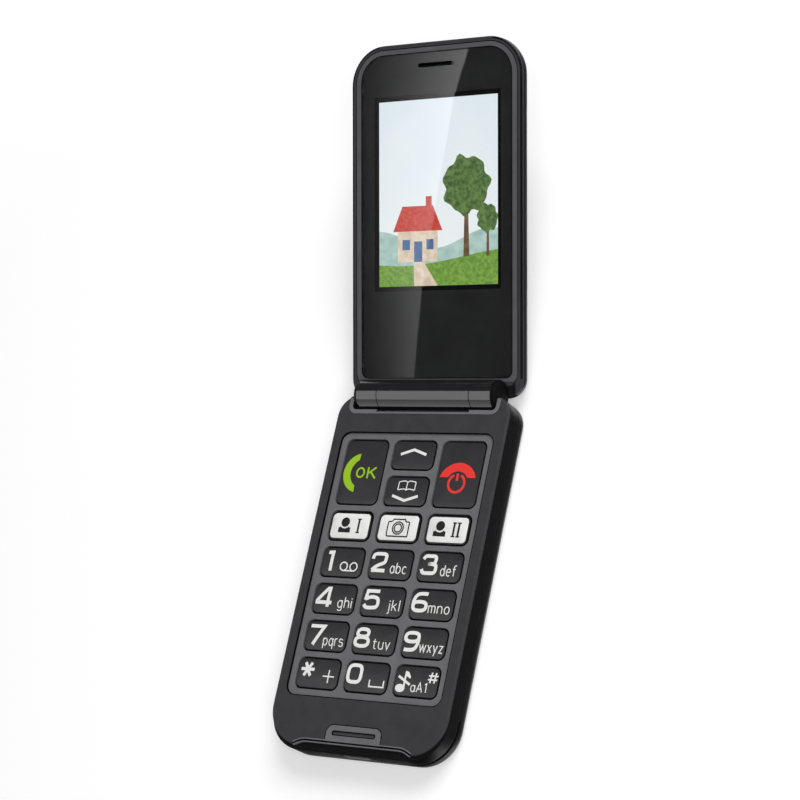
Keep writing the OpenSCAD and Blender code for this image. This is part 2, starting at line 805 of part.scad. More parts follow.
module mic_tab() {
    hole_count = 3;
    hole_pitch = 2;
    hole_r = 0.3;
    color(trim_grey) difference() {
        translate([0, 0, base_t - tab_t]) linear_extrude(tab_t) tab_plan(0);
        translate([0, tab_slot_y, base_t - tab_slot_d]) linear_extrude(tab_slot_d + over)
            round_rect(tab_slot_l, tab_slot_w, tab_slot_w / 2 - hair);
        for (i = [0:hole_count - 1])
            translate([mic_x + (i - (hole_count - 1) / 2) * hole_pitch, tab_slot_y, base_t - tab_t - over])
                cylinder(h = tab_t + 2 * over, r = hole_r);
    }
}

// Hinge in the base

module hinge_cradle() {
    color(trim_grey) difference() {
        union() {
            difference() {
                translate([0, 0, split_z]) linear_extrude(base_t - split_z) intersection() {
                    bay_plan(0);
                    base_plan(0);
                }
                translate([0, 0, split_z + bay_floor]) linear_extrude(base_t) bay_plan(-bay_rim);
            }
            at_hinge() both_sides() axle(side_knuckle, knuckle_end, barrel_r);
        }
        at_hinge() {
            axle(-side_knuckle, side_knuckle, barrel_r + cradle_clear);
            block([-side_knuckle, -knuckle_slot, -barrel_r / 4], [side_knuckle, 0, barrel_r]);
            both_sides() {
                axle(side_knuckle - over, barrel_half, hinge_bore_r);
                axle(knuckle_end, barrel_half + fit, barrel_r + fit);
            }
        }
    }
}

// Two caps with rounded rims that close the barrel
module hinge_end_caps() {
    color(trim_grey) at_hinge() both_sides() translate([knuckle_end, 0, 0]) rotate([0, 90, 0]) {
        rotate_extrude() cap_section();
        translate([0, 0, -spigot_l]) cylinder(h = spigot_l + cap_l / 2, r = hinge_bore_r - fit);
    }
}

// Half section of an end cap
module cap_section() {
    flat_r = barrel_r - cap_l;
    difference() {
        square([barrel_r, cap_l]);
        difference() {
            translate([flat_r, 0]) square(cap_l + over);
            translate([flat_r, 0]) circle(cap_l);
        }
    }
}

module hinge_follower() {
    color(steel) at_hinge() difference() {
        axle(-follower_x - follower_l, -follower_x, pin_r);
        axle(-follower_x - follower_l - over, -follower_x + over, shaft_r + run_fit);
    }
}

module hinge_spring() {
    color(steel) at_hinge() difference() {
        axle(-knuckle_end + spigot_l + fit, -follower_x - follower_l - fit, hinge_bore_r - spring_gap);
        axle(-knuckle_end, -follower_x, shaft_r + spring_room);
    }
}

// Hinge in the lid

module hinge_cam_shaft() {
    color(steel) on_lid() {
        axle(-cam_face_x, -knuckle_half + pin_reach, pin_r);
        axle(-pin_end_x, -cam_face_x + join, shaft_r);
    }
}

module pivot_sleeve() {
    color(steel) on_lid() difference() {
        axle(sleeve_x, pin_end_x, pin_r);
        axle(0, knuckle_end, pin_r - sleeve_t);
    }
}

module lid_knuckle() {
    color(trim_grey) on_lid() difference() {
        union() {
            axle(-knuckle_half, knuckle_half, barrel_r);
            knuckle_foot(0);
            block([-knuckle_half, 0, lid_split_w - plate_t], [knuckle_half, knuckle_neck, -barrel_r / 2]);
        }
        axle(-knuckle_half - over, knuckle_half + over, hinge_bore_r);
        flex_way(flex_room);
    }
}

// Slanted run of the flex cable from its roll into the lid, with room round it
module flex_way(room) {
    rotate([flex_angle, 0, 0]) block([flex_x - flex_w / 2 - room, 0, -flex_offset - flex_t / 2 - room],
        [flex_x + flex_w / 2 + room, flex_run + 2 * room, -flex_offset + flex_t / 2 + room]);
}

module flex_cable() {
    color(sheet_amber) on_lid() {
        difference() {
            union() {
                axle(flex_x - flex_w / 2, pin_end_x, flex_roll_r);
                flex_way(0);
            }
            axle(0, knuckle_end, flex_roll_r - flex_t);
        }
        block([flex_x - flex_w / 2, cavity_u, flex_low_w],
            [flex_x + flex_w / 2, socket_u + socket_l, flex_low_w + flex_t]);
    }
}

// Lid shells

module lid_rear_cover() {
    color(side_black) on_lid() difference() {
        union() {
            difference() {
                translate([0, 0, rear_w]) slab(lid_w, -lid_skirt, lid_tip, skirt_corner_r, lid_corner_r,
                    lid_split_w - rear_w, lid_edge_r);
                lid_cavity();
                lid_pocket();
                knuckle_foot(fit);
                flex_way(flex_room);
            }
            at_lid_bosses(lid_floor_w - lid_wall / 2)
                cylinder(h = plate_low_w - lid_floor_w + lid_wall / 2, r = lid_boss_r);
        }
        at_lid_bosses(lid_floor_w) cylinder(h = lid_t, r = lid_screw_r + fit);
        translate([0, camera_u, rear_w - over])
            cylinder(h = lid_wall + 2 * over, r = camera_r + camera_ring_w + fit);
    }
}

module lid_cavity() {
    inset = lid_wall;
    translate([0, 0, lid_floor_w]) slab(lid_w - 2 * inset, cavity_u, lid_tip - inset,
        skirt_corner_r - inset, lid_corner_r - inset, lid_t, lid_edge_r - inset);
}

module lid_frame() {
    color(shell_grey) on_lid() difference() {
        union() {
            difference() {
                translate([0, 0, face_w]) slab_under(lid_w, -lid_skirt, lid_tip, skirt_corner_r, lid_corner_r,
                    face_w - lid_split_w, front_edge_r);
                translate([0, 0, lid_split_w - over]) linear_extrude(lid_t) bezel_plan(groove);
            }
            translate([0, 0, plate_low_w]) linear_extrude(plate_t) carrier_plan();
        }
        translate([0, 0, lid_split_w - over]) linear_extrude(over + groove) difference() {
            lid_plan(-over);
            lid_plan(groove);
        }
        lid_pocket();
        at_lid_bosses(lid_split_w - lid_screw_head_h - fit) cylinder(h = lid_t, r = lid_screw_head_r + fit);
        at_lid_bosses(rear_w) cylinder(h = lid_t, r = lid_screw_r + fit);
    }
}

// Carrier plate behind the lens, with windows for the display and the earpiece
module carrier_plan() {
    inset = lid_wall + fit;
    window_gap = 0.2;
    window_r = 0.5;
    difference() {
        plan(lid_w - 2 * inset, cavity_u + fit, lid_tip - inset,
            skirt_corner_r - inset, lid_corner_r - inset);
        plan(2 * (panel_half + window_gap), panel_foot_u - window_gap, panel_top_u + window_gap,
            window_r, window_r);
        translate([0, ear_u])
            round_rect(ear_l + 2 * window_gap, ear_w_in + 2 * window_gap, ear_corner_r + window_gap);
    }
}

module lid_bezel() {
    color(trim_grey) on_lid() difference() {
        translate([0, 0, lid_split_w]) linear_extrude(face_w - lid_split_w) difference() {
            bezel_plan(0);
            lens_plan(lens_gap);
        }
        lid_pocket();
        flex_way(flex_room);
    }
}

module display_lens() {
    color(lens_black, 0.5) on_lid() translate([0, 0, film_top_w]) linear_extrude(lens_t) difference() {
        lens_plan(0);
        translate([0, ear_u]) ear_slot_plan();
    }
}

module ear_slot_plan() {
    round_rect(ear_slot_l, ear_slot_w, ear_slot_w / 2 - hair);
}

module lens_film() {
    window_half = panel_half - film_lap;
    window_r = 0.3;
    color(lens_black) on_lid() translate([0, 0, film_low_w]) linear_extrude(film_t) difference() {
        lens_plan(-film_t);
        plan(2 * window_half, display_foot_u - display_border + film_lap, panel_top_u - film_lap,
            window_r, window_r);
        translate([0, ear_u]) ear_slot_plan();
    }
}

// Pieces inside the lid

module lcd_panel() {
    color(picture_blue) on_lid()
        block([-panel_half, panel_foot_u, panel_low_w], [panel_half, panel_top_u, panel_top_w]);
}

module lcd_backlight() {
    rim = 0.8;
    color(tray_white) on_lid() block([-panel_half + rim, panel_foot_u + rim, backlight_low_w],
        [panel_half - rim, panel_top_u - rim, panel_low_w]);
}

module lid_board() {
    socket_half = flex_w / 2 + part_gap / 4;
    color(board_green) on_lid() {
        block([-panel_half, panel_foot_u, lid_board_low_w], [panel_half, panel_top_u, lid_board_top_w]);
        block([flex_x - socket_half, socket_u - part_gap / 2, lid_board_low_w],
            [flex_x + socket_half, panel_foot_u + join, lid_board_top_w]);
        block([flex_x - socket_half, socket_u, lid_board_top_w - lid_board_t / 2],
            [flex_x + socket_half, socket_u + socket_l, flex_low_w]);
    }
}

module earpiece() {
    color(steel) on_lid() translate([0, ear_u, ear_top_w - ear_t])
        linear_extrude(ear_t) round_rect(ear_l, ear_w_in, ear_corner_r);
}

module earpiece_mesh() {
    hole_pitch = 0.8;
    hole_r = 0.2;
    margin = 0.7;
    reach = floor((ear_slot_l / hole_pitch - 1) / 2);
    color(side_black) on_lid() translate([0, ear_u, mesh_low_w]) linear_extrude(mesh_t) difference() {
        round_rect(ear_slot_l + 2 * margin, ear_slot_w + 2 * margin, margin);
        for (i = [-reach:reach]) translate([i * hole_pitch, 0]) circle(hole_r);
    }
}

module camera_module() {
    barrel_h = 0.5;
    barrel_share = 0.75;
    color(side_black) on_lid() translate([0, camera_u, camera_low_w]) {
        cylinder(h = barrel_h + join, r = camera_r * barrel_share);
        translate([-camera_side / 2, -camera_side / 2, barrel_h])
            cube([camera_side, camera_side, plate_low_w - fit - camera_low_w - barrel_h]);
    }
}

module camera_window() {
    color(window_black) on_lid() translate([0, camera_u, rear_w]) cylinder(h = lid_wall, r = camera_r);
}

module camera_ring() {
    color(steel) on_lid() translate([0, camera_u, rear_w - camera_ring_h]) difference() {
        cylinder(h = lid_wall + camera_ring_h, r = camera_r + camera_ring_w);
        translate([0, 0, -over]) cylinder(h = lid_t, r = camera_r + fit);
    }
}

module lid_screws() {
    tip_w = lid_floor_w + air;
    color(steel) on_lid() {
        at_lid_bosses(lid_split_w - lid_screw_head_h) cylinder(h = lid_screw_head_h, r = lid_screw_head_r);
        at_lid_bosses(tip_w) cylinder(h = lid_split_w - tip_w - lid_screw_head_h / 2, r = lid_screw_r);
    }
}

module lid_magnet() {
    magnet = [5, 2.4, 1.2];
    magnet_x = -ear_l / 2 - part_gap - magnet[0];
    color(steel) on_lid() translate([magnet_x, ear_u - magnet[1], plate_low_w - magnet[2]]) cube(magnet);
}

// Pieces inside the base

module battery() {
    color(can_grey) translate([0, battery_mid_y, battery_z])
        linear_extrude(battery_t) round_rect(battery_w, battery_l, battery_corner_r);
}

module battery_contacts() {
    blade_count = 3;
    blade_pitch = 2.6;
    blade = [0.8, battery_gap + join - fit, 1.4];
    front_y = battery_tail_y - battery_gap;
    low_z = floor_z - contact_t;
    color(sheet_amber) {
        block([-contact_w / 2, front_y - contact_l, low_z], [contact_w / 2, front_y, floor_z]);
        for (i = [0:blade_count - 1])
            translate([(i - (blade_count - 1) / 2) * blade_pitch - blade[0] / 2, front_y - join,
                low_z + (contact_t - blade[2]) / 2]) cube(blade);
    }
}

module main_board() {
    color(board_green) difference() {
        translate([0, 0, board_z]) linear_extrude(board_t) intersection() {
            inner_plan(air);
            translate([-base_w, tail_y]) square([2 * base_w, bay_y - air - tail_y]);
        }
        charge_port_space();
        at_bosses(board_z - over) cylinder(h = board_t + 2 * over, r = boss_r + air / 2);
    }
}

module sim_holder() {
    sheet = 0.3;
    color(steel) translate([sim_x, tail_row_y, floor_z - sim_t]) difference() {
        block([-sim_l / 2, -sim_w / 2, 0], [sim_l / 2, sim_w / 2, sim_t]);
        block([sheet - sim_l / 2, -sim_w, sheet], [sim_l / 2 - sheet, sim_w / 2 - sheet, sim_t - sheet]);
    }
}

module loudspeaker() {
    rim = 0.5;
    corner_r = 2;
    color(steel) translate([speaker_x, tail_row_y, floor_z - speaker_t]) {
        linear_extrude(speaker_t) round_rect(speaker_l - 2 * rim, speaker_w - 2 * rim, corner_r);
        translate([0, 0, speaker_t - rim]) linear_extrude(rim)
            round_rect(speaker_l, speaker_w, corner_r + rim);
    }
}

module vibration_motor() {
    color(steel) translate([motor_x, tail_row_y, floor_z - motor_t]) cylinder(h = motor_t, r = motor_r);
}

module microphone() {
    color(steel) translate([mic_x - MIC[0] / 2, tab_slot_y - MIC[1] / 2, dome_z]) cube(MIC);
}

module charge_port() {
    tongue_h = 0.6;
    back_t = 0.8;
    color(steel) translate([0, port_y + port_l, port_z]) rotate([90, 0, 0]) {
        linear_extrude(port_l) difference() {
            round_rect(port_w, port_h, port_corner_r);
            round_rect(port_w - 2 * port_shell, port_h - 2 * port_shell, port_corner_r - port_shell);
        }
        linear_extrude(back_t)
            round_rect(port_w - port_shell, port_h - port_shell, port_corner_r - port_shell / 2);
        translate([0, tongue_h / 2, 0]) linear_extrude(port_l - part_gap)
            square([port_w / 2, tongue_h], center = true);
    }
}

module antenna() {
    antenna_w = 9;
    antenna_l = 5;
    antenna_t = 0.2;
    color(sheet_amber) translate([port_w / 2 + part_gap, tail_y + tail_wall + air, floor_z - antenna_t])
        cube([antenna_w, antenna_l, antenna_t]);
}

module housing_screws() {
    low_z = floor_z - screw_head_h;
    color(steel) {
        at_bosses(low_z) cylinder(h = screw_head_h, r = screw_head_r);
        at_bosses(low_z + join) cylinder(h = front_z - air - low_z - join, r = screw_r);
    }
}

battery_cover();
base_chassis();
front_housing();
keypad_frame();
mic_tab();
hinge_cradle();
hinge_end_caps();
hinge_follower();
hinge_spring();
main_board();
dome_sheet();
key_mat();
battery();
battery_contacts();
sim_holder();
loudspeaker();
vibration_motor();
microphone();
charge_port();
antenna();
housing_screws();
lid_rear_cover();
lid_frame();
lid_bezel();
lid_knuckle();
display_lens();
lens_film();
lcd_panel();
lcd_backlight();
lid_board();
earpiece();
earpiece_mesh();
camera_module();
camera_window();
camera_ring();
lid_screws();
lid_magnet();
flex_cable();
hinge_cam_shaft();
pivot_sleeve();
for (k = KEYS) key_cap(k);
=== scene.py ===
"""Looks of a flip phone: finishes, crowned keys, printed legends, lit display and a plain studio."""

import json
import logging
import math
from dataclasses import dataclass, field
from enum import Enum
from typing import Sequence

import bmesh
import bpy
from mathutils import Matrix, Vector


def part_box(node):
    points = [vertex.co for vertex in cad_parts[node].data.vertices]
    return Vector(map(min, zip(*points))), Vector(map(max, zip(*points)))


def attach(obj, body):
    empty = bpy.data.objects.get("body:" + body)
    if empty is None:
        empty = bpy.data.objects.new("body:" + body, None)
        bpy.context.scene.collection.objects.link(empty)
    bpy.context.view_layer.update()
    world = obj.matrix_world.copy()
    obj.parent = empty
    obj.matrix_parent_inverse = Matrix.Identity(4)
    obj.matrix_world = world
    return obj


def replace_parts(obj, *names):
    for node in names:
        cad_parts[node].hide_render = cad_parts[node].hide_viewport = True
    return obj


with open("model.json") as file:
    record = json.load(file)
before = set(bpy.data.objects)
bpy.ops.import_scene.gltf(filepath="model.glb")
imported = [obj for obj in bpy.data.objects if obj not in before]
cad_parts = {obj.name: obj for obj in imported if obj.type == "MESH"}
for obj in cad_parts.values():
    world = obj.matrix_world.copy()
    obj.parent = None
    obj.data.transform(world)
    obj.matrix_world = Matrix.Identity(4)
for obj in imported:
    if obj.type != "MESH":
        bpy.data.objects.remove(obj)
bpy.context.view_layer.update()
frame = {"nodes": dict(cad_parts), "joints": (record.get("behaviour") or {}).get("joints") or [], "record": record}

MM = 0.001
Point = tuple[float, float]
Outline = list[Point]
Colour = tuple[float, float, float, float]
Inputs = dict[str | int, object]
Socket = bpy.types.NodeSocket
Ring = list[bmesh.types.BMVert]
Piece = bpy.types.Object
log = logging.getLogger("flip_phone")


def linear(code: str) -> Colour:
    """Turns a written colour into scene-linear RGBA.

    Args:
        code: Six hex digits, as a display shows them.

    Returns:
        The colour with an alpha of one.
    """
    parts = [int(code[i:i + 2], 16) / 255 for i in (0, 2, 4)]
    lit = [p / 12.92 if p <= 0.04045 else ((p + 0.055) / 1.055) ** 2.4 for p in parts]
    return (lit[0], lit[1], lit[2], 1.0)


class Wiring:
    """Short calls to place and join nodes in one shader tree."""

    def __init__(self, tree: bpy.types.NodeTree) -> None:
        """Keeps the tree to work on."""
        self.tree = tree

    def add(self, kind: str, inputs: Inputs | None = None, **settings: object) -> bpy.types.Node:
        """Places a node and sets it up.

        Args:
            kind: Node type without its "ShaderNode" prefix.
            inputs: Names or numbers of sockets, each with a value to set or a socket to join.
            **settings: Properties of the node.

        Returns:
            The new node.
        """
        node = self.tree.nodes.new("ShaderNode" + kind)
        for name, value in settings.items():
            setattr(node, name, value)
        for name, value in (inputs or {}).items():
            self.put(node.inputs[name], value)
        return node

    def put(self, socket: Socket, value: object) -> None:
        """Joins a socket to another one, or gives it a plain value.

        Args:
            socket: Socket to feed.
            value: Socket to join it to, or the value.
        """
        if isinstance(value, Socket):
            self.tree.links.new(value, socket)
        else:
            socket.default_value = value

    def math(self, operation: str, a: object, b: object) -> Socket:
        """Adds a Math node for two values and gives its result."""
        return self.add("Math", {0: a, 1: b}, operation=operation).outputs[0]

    def blend(self, factor: object, a: object, b: object) -> Socket:
        """Mixes two colours, with the factor as the share of the second one."""
        return self.add("Mix", {0: factor, 6: a, 7: b}, data_type="RGBA").outputs[2]

    def span(self, value: object, low: float, high: float, start: float = 0.0, end: float = 1.0) -> Socket:
        """Carries a value from the range of start and end to that of low and high, clamped."""
        ends = {"From Min": start, "From Max": end, "To Min": low, "To Max": high}
        return self.add("MapRange", {"Value": value, **ends}).outputs["Result"]

    def bump(self, height: Socket, strength: float, depth: float, **normal: Socket) -> Socket:
        """Gives the normal of a surface with a relief, whose depth is in millimetres."""
        relief = {"Height": height, "Strength": strength, "Distance": depth * MM, **normal}
        return self.add("Bump", relief).outputs["Normal"]


class Effect(Enum):
    """Shared surface effects, each one node group."""

    GRAIN = "mould_grain"
    EDGE = "edge_softening"
    SMUDGE = "hand_smudges"
    BRUSH = "brushed_lines"
    FLAKE = "paint_flakes"
    TRACES = "copper_traces"

    def tree(self) -> bpy.types.NodeTree:
        """Gives the effect's node group, which is built at its first use."""
        found = bpy.data.node_groups.get(self.value)
        return found or EffectBuilder(self).build()


@dataclass
class EffectBuilder:
    """Builds one effect's node group.

    Attributes:
        effect: The effect.
    """

    effect: Effect

    def build(self) -> bpy.types.NodeTree:
        """Makes the group with its sockets and nodes.

        Returns:
            The finished group.
        """
        tree = bpy.data.node_groups.new(self.effect.value, "ShaderNodeTree")
        self.wires = Wiring(tree)
        self.tree = tree
        self.start = tree.nodes.new("NodeGroupInput")
        self.end = tree.nodes.new("NodeGroupOutput")
        getattr(self, "_" + self.effect.name.lower())()
        return tree

    def _take(self, name: str, value: float) -> Socket:
        """Adds a number to the group's inputs.

        Args:
            name: Name of the input.
            value: Value where a material sets none.

        Returns:
            The socket inside the group.
        """
        socket = self.tree.interface.new_socket(name, in_out="INPUT", socket_type="NodeSocketFloat")
        socket.default_value = value
        return self.start.outputs[name]

    def _give(self, name: str, source: Socket, kind: str = "NodeSocketFloat") -> None:
        """Adds an output that carries a socket's value."""
        self.tree.interface.new_socket(name, in_out="OUTPUT", socket_type=kind)
        self.wires.put(self.end.inputs[name], source)

    def _place(self, stretch: Sequence[float] = (1, 1, 1)) -> Socket:
        """Gives the point on the object, stretched along x, y and z."""
        where = self.wires.add("TexCoord").outputs["Object"]
        return self.wires.add("Mapping", {"Vector": where, "Scale": tuple(stretch)}).outputs["Vector"]

    def _noise(self, scale: object, detail: float, place: Socket) -> Socket:
        """Adds noise at a place, with its repeats per metre and its octaves of finer noise."""
        values = {"Vector": place, "Scale": scale, "Detail": detail, "Roughness": 0.6}
        return self.wires.add("TexNoise", values).outputs["Fac"]

    def _grain(self) -> None:
        """Fine moulded grain and a slow drift of tone."""
        scale = self._take("Scale", 5000)
        place = self._place()
        fine = self._noise(scale, 2, place)
        slow = self._noise(self.wires.math("MULTIPLY", scale, 0.03), 3, place)
        self._give("Height", fine)
        self._give("Tone", self.wires.span(slow, 0, 1, 0.3, 0.7))

    def _edge(self) -> None:
        """Rounded normal and a mask along the edges."""
        radius = self._take("Radius", 0.0002)
        soft = self.wires.add("Bevel", {"Radius": radius}, samples=6).outputs["Normal"]
        true = self.wires.add("NewGeometry").outputs["Normal"]
        dot = self.wires.add("VectorMath", {0: soft, 1: true}, operation="DOT_PRODUCT")
        self._give("Normal", soft, "NodeSocketVector")
        self._give("Edge", self.wires.span(dot.outputs["Value"], 1, 0, 0.75, 0.995))

    def _smudge(self) -> None:
        """Uneven sheen left by hands."""
        scale = self._take("Scale", 120)
        broad = self._noise(scale, 2, self._place())
        fine = self._noise(self.wires.math("MULTIPLY", scale, 9), 3, self._place((1, 0.35, 1)))
        most = self.wires.math("MULTIPLY", broad, 0.65)
        both = self.wires.math("ADD", most, self.wires.math("MULTIPLY", fine, 0.35))
        self._give("Mask", self.wires.span(both, 0, 1, 0.35, 0.65))

    def _brush(self) -> None:
        """Long fine lines of brushed or drawn metal."""
        scale = self._take("Scale", 3000)
        lines = self._noise(scale, 3, self._place((0.03, 1, 1)))
        self._give("Height", lines)
        self._give("Tone", self.wires.span(lines, 0, 1, 0.3, 0.7))

    def _flake(self) -> None:
        """Small flakes in a satin paint."""
        scale = self._take("Scale", 9000)
        cells = self.wires.add("TexVoronoi", {"Vector": self._place(), "Scale": scale})
        tone = self.wires.add("SeparateColor", {"Color": cells.outputs["Color"]}).outputs["Red"]
        self._give("Tone", tone)

    def _traces(self) -> None:
        """Tracks and pads of a circuit."""
        scale = self._take("Scale", 900)
        place = self._place()
        where = {"Vector": place, "Scale": scale}
        cells = self.wires.add("TexVoronoi", where, distance="CHEBYCHEV", feature="F1")
        tracks = self.wires.add("TexBrick", {**where, "Mortar Size": 0.03})
        self._give("Pads", self.wires.span(cells.outputs["Distance"], 1, 0, 0.16, 0.18))
        self._give("Tracks", tracks.outputs["Fac"])


DEEP, SHALLOW = 0.02, 0.01  # depths of relief in millimetres
PALM_SMUDGES, FINGER_SMUDGES = 90, 70  # repeats of smudges per metre, on plastic and on glass
LACQUER_GRAIN, INK_GRAIN = 9000, 7000  # repeats of grain per metre
METAL_EDGE = 0.08  # radius of softened metal edges in millimetres
COAT_ROUGH = 0.12
ACRYLIC_IOR = 1.49


@dataclass(frozen=True)
class Finish:
    """What every finish shares: its name and the material made from it once.

    Attributes:
        name: Name of the material.
        colour: Main colour as hex digits.
    """

    name: str
    colour: str

    def material(self) -> bpy.types.Material:
        """Gives the finish's material, which is made at its first use.

        Returns:
            The material.
        """
        found = bpy.data.materials.get(self.name)
        if found:
            return found
        made = bpy.data.materials.new(self.name)
        made.use_nodes = True
        made.node_tree.nodes.clear()
        wires = Wiring(made.node_tree)
        shader = wires.add("BsdfPrincipled", self.inputs(wires))
        wires.add("OutputMaterial", {"Surface": shader.outputs["BSDF"]})
        return made

    def inputs(self, wires: Wiring) -> Inputs:
        """Gives the shader's inputs, which each kind of finish has its own way to make."""
        raise NotImplementedError

    def effect(self, wires: Wiring, effect: Effect, **values: float) -> bpy.types.NodeOutputs:
        """Places a shared effect with this finish's own values.

        Args:
            wires: Tree of the material.
            effect: Effect to place.
            **values: Values of its inputs.

        Returns:
            The outputs of its group node.
        """
        node = wires.add("Group", node_tree=effect.tree())
        for name, value in values.items():
            node.inputs[name].default_value = value
        return node.outputs

    def shaded(self, gain: float) -> Colour:
        """Gives the main colour, lighter or darker by a factor."""
        red, green, blue, alpha = linear(self.colour)
        return (red * gain, green * gain, blue * gain, alpha)


@dataclass(frozen=True)
class Plastic(Finish):
    """Moulded plastic: fine grain, soft edges with a lighter tone, partly from rubbing and partly a painted
    highlight, and hand smudges.

    Attributes:
        rough: Mean roughness.
        spread: How far smudges move the roughness.
        grain: Repeats of the grain per metre.
        relief: Strength of the grain's bump.
        edge: Radius of the softened edges in millimetres.
        wear_and_highlight: Share of the lighter tone along the edges, partly real rubbing and partly a painted
            highlight.
        gloss: Specular level.
        coat: Clear coat over the surface.
        flake: Contrast of the paint's flakes.
    """

    rough: float = 0.4
    spread: float = 0.08
    grain: float = 8000
    relief: float = 0.05
    edge: float = 0.1
    wear_and_highlight: float = 0.1
    gloss: float = 0.5
    coat: float = 0.0
    flake: float = 0.0

    def inputs(self, wires: Wiring) -> Inputs:
        """Gives the shader grain, soft edges and smudges.

        Args:
            wires: Tree of the material.

        Returns:
            Values and sockets by the shader's inputs.
        """
        grain = self.effect(wires, Effect.GRAIN, Scale=self.grain)
        edge = self.effect(wires, Effect.EDGE, Radius=self.edge * MM)
        smudge = self.effect(wires, Effect.SMUDGE, Scale=PALM_SMUDGES)
        dark, light, flaked, worn_and_highlit = (self.shaded(gain) for gain in (0.9, 1.1, 1.8, 2.2))
        toned = wires.blend(grain["Tone"], dark, light)
        if self.flake:
            flake = self.effect(wires, Effect.FLAKE, Scale=self.grain * 1.5)
            toned = wires.blend(wires.math("MULTIPLY", flake["Tone"], self.flake), toned, flaked)
        # Edges get a lighter tone: partly rubbing, partly a painted highlight.
        rubbed_and_highlit = wires.math("MULTIPLY", edge["Edge"], self.wear_and_highlight)
        return {
            "Base Color": wires.blend(rubbed_and_highlit, toned, worn_and_highlit),
            "Roughness": wires.span(smudge["Mask"], self.rough + self.spread, self.rough - self.spread),
            "Normal": wires.bump(grain["Height"], self.relief, DEEP, Normal=edge["Normal"]),
            "Specular IOR Level": self.gloss,
            "Coat Weight": self.coat,
            "Coat Roughness": COAT_ROUGH,
        }


@dataclass(frozen=True)
class Metal(Finish):
    """Drawn or stamped metal with brushed lines.

    Attributes:
        rough: Mean roughness.
        lines: Repeats of the lines per metre.
    """

    rough: float = 0.3
    lines: float = 4000

    def inputs(self, wires: Wiring) -> Inputs:
        """Gives the shader brushed lines and soft edges.

        Args:
            wires: Tree of the material.

        Returns:
            Values and sockets by the shader's inputs.
        """
        brush = self.effect(wires, Effect.BRUSH, Scale=self.lines)
        edge = self.effect(wires, Effect.EDGE, Radius=METAL_EDGE * MM)
        return {
            "Base Color": wires.blend(brush["Tone"], self.shaded(0.85), self.shaded(1.1)),
            "Roughness": wires.span(brush["Tone"], self.rough - 0.08, self.rough + 0.1),
            "Normal": wires.bump(brush["Height"], 0.15, SHALLOW, Normal=edge["Normal"]),
            "Metallic": 1.0,
        }


@dataclass(frozen=True)
class Circuit(Finish):
    """Board or film with copper tracks under its lacquer.

    Attributes:
        copper: Colour of pads and tracks.
        scale: Repeats of the tracks per metre.
    """

    copper: str = "b08a4a"
    scale: float = 700

    def inputs(self, wires: Wiring) -> Inputs:
        """Gives the shader tracks, pads and lacquer.

        Args:
            wires: Tree of the material.

        Returns:
            Values and sockets by the shader's inputs.
        """
        traces = self.effect(wires, Effect.TRACES, Scale=self.scale)
        grain = self.effect(wires, Effect.GRAIN, Scale=LACQUER_GRAIN)
        faint = wires.math("MULTIPLY", traces["Tracks"], 0.6)
        tracked = wires.blend(faint, self.shaded(1.0), self.shaded(1.7))
        return {
            "Base Color": wires.blend(traces["Pads"], tracked, linear(self.copper)),
            "Metallic": wires.math("MULTIPLY", traces["Pads"], 0.9),
            "Roughness": wires.span(grain["Tone"], 0.35, 0.5),
            "Normal": wires.bump(traces["Tracks"], 0.2, DEEP),
        }


@dataclass(frozen=True)
class Glass(Finish):
    """Clear hard plastic or glass with faint smudges.

    Attributes:
        rough: Least roughness.
        haze: Roughness that smudges add.
    """

    rough: float = 0.0
    haze: float = 0.04

    def inputs(self, wires: Wiring) -> Inputs:
        """Gives a clear shader its smudges.

        Args:
            wires: Tree of the material.

        Returns:
            Values and sockets by the shader's inputs.
        """
        smudge = self.effect(wires, Effect.SMUDGE, Scale=FINGER_SMUDGES)
        return {
            "Base Color": linear(self.colour),
            "Roughness": wires.span(smudge["Mask"], self.rough, self.rough + self.haze),
            "Transmission Weight": 1.0,
            "IOR": ACRYLIC_IOR,
        }


@dataclass(frozen=True)
class Ink(Finish):
    """Printed legend: matt, with slightly uneven cover."""

    def inputs(self, wires: Wiring) -> Inputs:
        """Gives the shader an uneven cover.

        Args:
            wires: Tree of the material.

        Returns:
            Values and sockets by the shader's inputs.
        """
        grain = self.effect(wires, Effect.GRAIN, Scale=INK_GRAIN)
        return {
            "Base Color": wires.blend(grain["Height"], self.shaded(0.9), self.shaded(1.06)),
            "Roughness": wires.span(grain["Tone"], 0.4, 0.6),
            "Normal": wires.bump(grain["Height"], 0.1, SHALLOW),
            "Specular IOR Level": 0.3,
        }


@dataclass(frozen=True)
class Lit(Finish):
    """Light of the display behind its picture.

    Attributes:
        other: Second colour.
        patches: Repeats of the mottling per metre.
        low: Where the first colour is whole, in metres along y.
        high: Where the second colour is whole.
        mottle: Share of the mottling against the height.
    """

    other: str = "ffffff"
    patches: float = 300
    low: float = 0.07
    high: float = 0.12
    mottle: float = 1.0

    def inputs(self, wires: Wiring) -> Inputs:
        """Gives the shader's light a height gradient and mottling.

        Args:
            wires: Tree of the material.

        Returns:
            Values and sockets by the shader's inputs.
        """
        place = wires.add("TexCoord").outputs["Object"]
        along = wires.add("SeparateXYZ", {"Vector": place}).outputs["Y"]
        up = wires.span(along, 0, 1, self.low, self.high)
        noise = wires.add("TexNoise", {"Vector": place, "Scale": self.patches, "Detail": 4.0}).outputs["Fac"]
        spots = wires.span(noise, 0, 1, 0.35, 0.65)
        share = wires.add("Mix", {0: self.mottle, 2: up, 3: spots}, data_type="FLOAT").outputs[0]
        return {
            "Base Color": (0.0, 0.0, 0.0, 1.0),
            "Roughness": wires.span(spots, 0.35, 0.45),
            "Emission Color": wires.blend(share, linear(self.colour), linear(self.other)),
            "Emission Strength": 1.0,
        }


